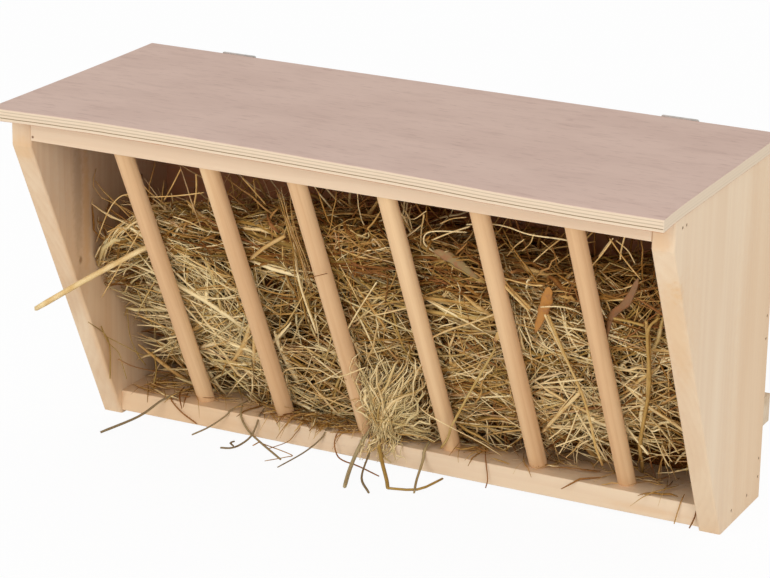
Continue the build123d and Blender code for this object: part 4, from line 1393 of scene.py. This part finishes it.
class HAYBOX_OT_leaves(bpy.types.Operator):
    """Adds the dead leaves: thin blades with a midrib, curled a little across"""
    bl_idname = "haybox.leaves"
    bl_label = "Dead leaves"

    LEAVES = [
        Leaf("hay_leaf_orange", 8.0, "leaf", [(142, -40, 183), (136, -32, 166), (124, -19, 141)]),
        Leaf("hay_leaf_brown", 5.5, "husk", [(209, -50, 203), (197, -37, 181), (183, -28, 166),
                                               (176, -19, 146)]),
        Leaf("hay_leaf_green", 7.0, "sage", [(59, -45, 197), (72, -41, 191), (88, -36, 179)]),
        Leaf("hay_leaf_tan", 4.5, "straw", [(92, -15, 128), (98, -18, 136), (104, -22, 143)]),
    ]
    THICK = 0.0003
    STEPS = 17

    def execute(self, context):
        hay = context.scene.hay_hay
        for leaf in self.LEAVES:
            material = self.material(f"dead {leaf.name}", getattr(hay, leaf.shade), hay.russet)
            add_piece(leaf.name, self.blade(leaf), material, "box")
        return {"FINISHED"}

    def blade(self, leaf):
        """A grid bent along the leaf's line, narrowed to its tips and given its thickness."""
        bm = bmesh.new()
        bmesh.ops.create_grid(bm, x_segments=16, y_segments=6, size=0.5)
        route = smooth_line(leaf.points, self.STEPS)
        for vert in bm.verts:
            share = vert.co.x + 0.5
            middle = Vector(cut_out(route, [share])[0])
            heading = Vector(route[-1] - route[0]).normalized()
            facing = Vector((0.3, -1.0, 0.2)).normalized()
            side = heading.cross(facing).normalized()
            half = leaf.width * MM / 2 * max(0.05, math.sin(math.pi * share ** 0.8)) ** 0.6
            half *= 1 + 0.12 * math.sin(share * 23 + vert.co.y)
            across = 2 * vert.co.y
            curl = facing * (0.28 * half * (across ** 2 - 0.3))
            vert.co = middle + side * across * half - curl
        bmesh.ops.solidify(bm, geom=bm.faces[:], thickness=self.THICK)
        bmesh.ops.recalc_face_normals(bm, faces=bm.faces)
        for face in bm.faces:
            face.smooth = True
        return mesh_from(bm, leaf.name)

    def material(self, name, shade, edge):
        material, tree, shader, vector = new_material(name)
        blotch = speckle(tree, vector, 170.0, 3.0)
        vein = speckle(tree, stretched(tree, vector, (1.0, 1.0, 0.25), turn=(0, 0.4, 0)), 900.0)
        tone = mix(tree, ramp(tree, blotch, 0.45, 0.7), shade, edge)
        tone = mix(tree, reckon(tree, "MULTIPLY", vein, 0.35), tone,
                   tuple(c * 0.6 for c in shade))
        tree.links.new(tone, shader.inputs["Base Color"])
        shader.inputs["Roughness"].default_value = 0.6
        bump(tree, shader, vein, 0.0002)
        return material


class HAYBOX_OT_stage(bpy.types.Operator):
    """Sets the floor, the white surroundings, the soft lamps and the camera"""
    bl_idname = "haybox.stage"
    bl_label = "Stage"

    BOX_MIDDLE = Vector((0, 0, 0.13))                          # where the lamps point
    FLOOR_DROP = 0.0002                                        # under the box's lowest faces

    def execute(self, context):
        stage = context.scene.hay_stage
        self.floor(stage)
        self.surroundings(stage)
        self.lamp("key light", (-0.7, -2.5, 1.1), 1.6, stage.key)
        self.lamp("fill light", (1.9, -1.8, 1.0), 1.4, stage.fill)
        self.camera(stage)
        context.scene.view_settings.view_transform = "Standard"
        return {"FINISHED"}

    def seen_directly(self, tree):
        """1 for what the camera, a reflection or glass sees, and 0 for light on the object."""
        rays = put(tree, "ShaderNodeLightPath").outputs
        seen = reckon(tree, "MAXIMUM", rays["Is Camera Ray"], rays["Is Glossy Ray"])
        return reckon(tree, "MAXIMUM", seen, rays["Is Transmission Ray"])

    def floor(self, stage):
        bm = bmesh.new()
        bmesh.ops.create_grid(bm, x_segments=1, y_segments=1, size=6.0)
        bmesh.ops.translate(bm, verts=bm.verts, vec=(0, 0, -self.FLOOR_DROP))
        floor = new_object("stage_floor", mesh_from(bm, "stage_floor"))
        material, tree, shader, _ = new_material("pale floor")
        shader.inputs["Base Color"].default_value = rgba(stage.floor)
        shader.inputs["Roughness"].default_value = 0.9
        shader.inputs["Specular IOR Level"].default_value = 0.0
        white = put(tree, "ShaderNodeEmission", {"Color": rgba((1, 1, 1)), "Strength": 1.0})
        share = reckon(tree, "MULTIPLY", self.seen_directly(tree), 0.94)
        both = put(tree, "ShaderNodeMixShader", {0: share, 1: shader.outputs[0],
                                                 2: white.outputs[0]})
        tree.links.new(both.outputs[0], tree.nodes["Material Output"].inputs["Surface"])
        floor.data.materials.append(material)

    def surroundings(self, stage):
        world = bpy.data.worlds.new("white surroundings")
        bpy.context.scene.world = world
        world.use_nodes = True
        tree = world.node_tree
        light = tree.nodes["Background"]
        strength = put(tree, "ShaderNodeMapRange", {
            "Value": self.seen_directly(tree), "To Min": stage.daylight, "To Max": 1.0})
        light.inputs["Color"].default_value = rgba((1, 1, 1))
        tree.links.new(strength.outputs[0], light.inputs["Strength"])

    def lamp(self, name, place, size, power):
        data = bpy.data.lights.new(name, "AREA")
        data.shape = "DISK"
        data.size = size
        data.energy = power
        lamp = new_object(name, data)
        towards = self.BOX_MIDDLE - Vector(place)
        lamp.matrix_world = Matrix.Translation(place) @ towards.to_track_quat(
            "-Z", "Y").to_matrix().to_4x4()

    def camera(self, stage):
        data = bpy.data.cameras.new("camera")
        data.lens = stage.lens
        data.sensor_width = 36
        data.clip_end = 20
        camera = new_object("camera", data)
        camera.matrix_world = (Matrix.Translation(stage.camera_place)
                               @ Matrix.Rotation(stage.camera_turn, 4, "Z")
                               @ Matrix.Rotation(math.radians(90) - stage.camera_dip, 4, "X")
                               @ Matrix.Rotation(stage.camera_roll, 4, "Z"))
        bpy.context.scene.camera = camera


OPERATORS = (HAYBOX_OT_boards, HAYBOX_OT_bars, HAYBOX_OT_battens, HAYBOX_OT_back, HAYBOX_OT_lid,
             HAYBOX_OT_fittings, HAYBOX_OT_core, HAYBOX_OT_packed, HAYBOX_OT_loose, HAYBOX_OT_wisps,
             HAYBOX_OT_stems, HAYBOX_OT_straws, HAYBOX_OT_tuft, HAYBOX_OT_litter,
             HAYBOX_OT_leaves, HAYBOX_OT_stage)
SETTINGS = {"hay_timber": TimberSettings, "hay_metal": MetalSettings, "hay_hay": HaySettings,
            "hay_stage": StageSettings}


class HAYBOX_PT_panel(bpy.types.Panel):
    """Lists the box's pieces and their sizes and colours"""
    bl_idname = "HAYBOX_PT_panel"
    bl_label = "Hay feeder box"
    bl_space_type = "VIEW_3D"
    bl_region_type = "UI"
    bl_category = "Hay box"

    def draw(self, context):
        for operator in OPERATORS:
            self.layout.operator(operator.bl_idname)
        for name in SETTINGS:
            group = getattr(context.scene, name)
            column = self.layout.column(heading=name)
            for prop in group.bl_rna.properties.keys():
                if prop not in ("rna_type", "name"):
                    column.prop(group, prop)


def register():
    for kind in (*SETTINGS.values(), *OPERATORS, HAYBOX_PT_panel):
        bpy.utils.register_class(kind)
    for name, kind in SETTINGS.items():
        setattr(bpy.types.Scene, name, PointerProperty(type=kind))


def unregister():
    for name in SETTINGS:
        delattr(bpy.types.Scene, name)
    for kind in reversed((*SETTINGS.values(), *OPERATORS, HAYBOX_PT_panel)):
        bpy.utils.unregister_class(kind)


def main():
    register()
    for operator in OPERATORS:
        group, name = operator.bl_idname.split(".")
        getattr(getattr(bpy.ops, group), name)()


if __name__ == "__main__":
    main()
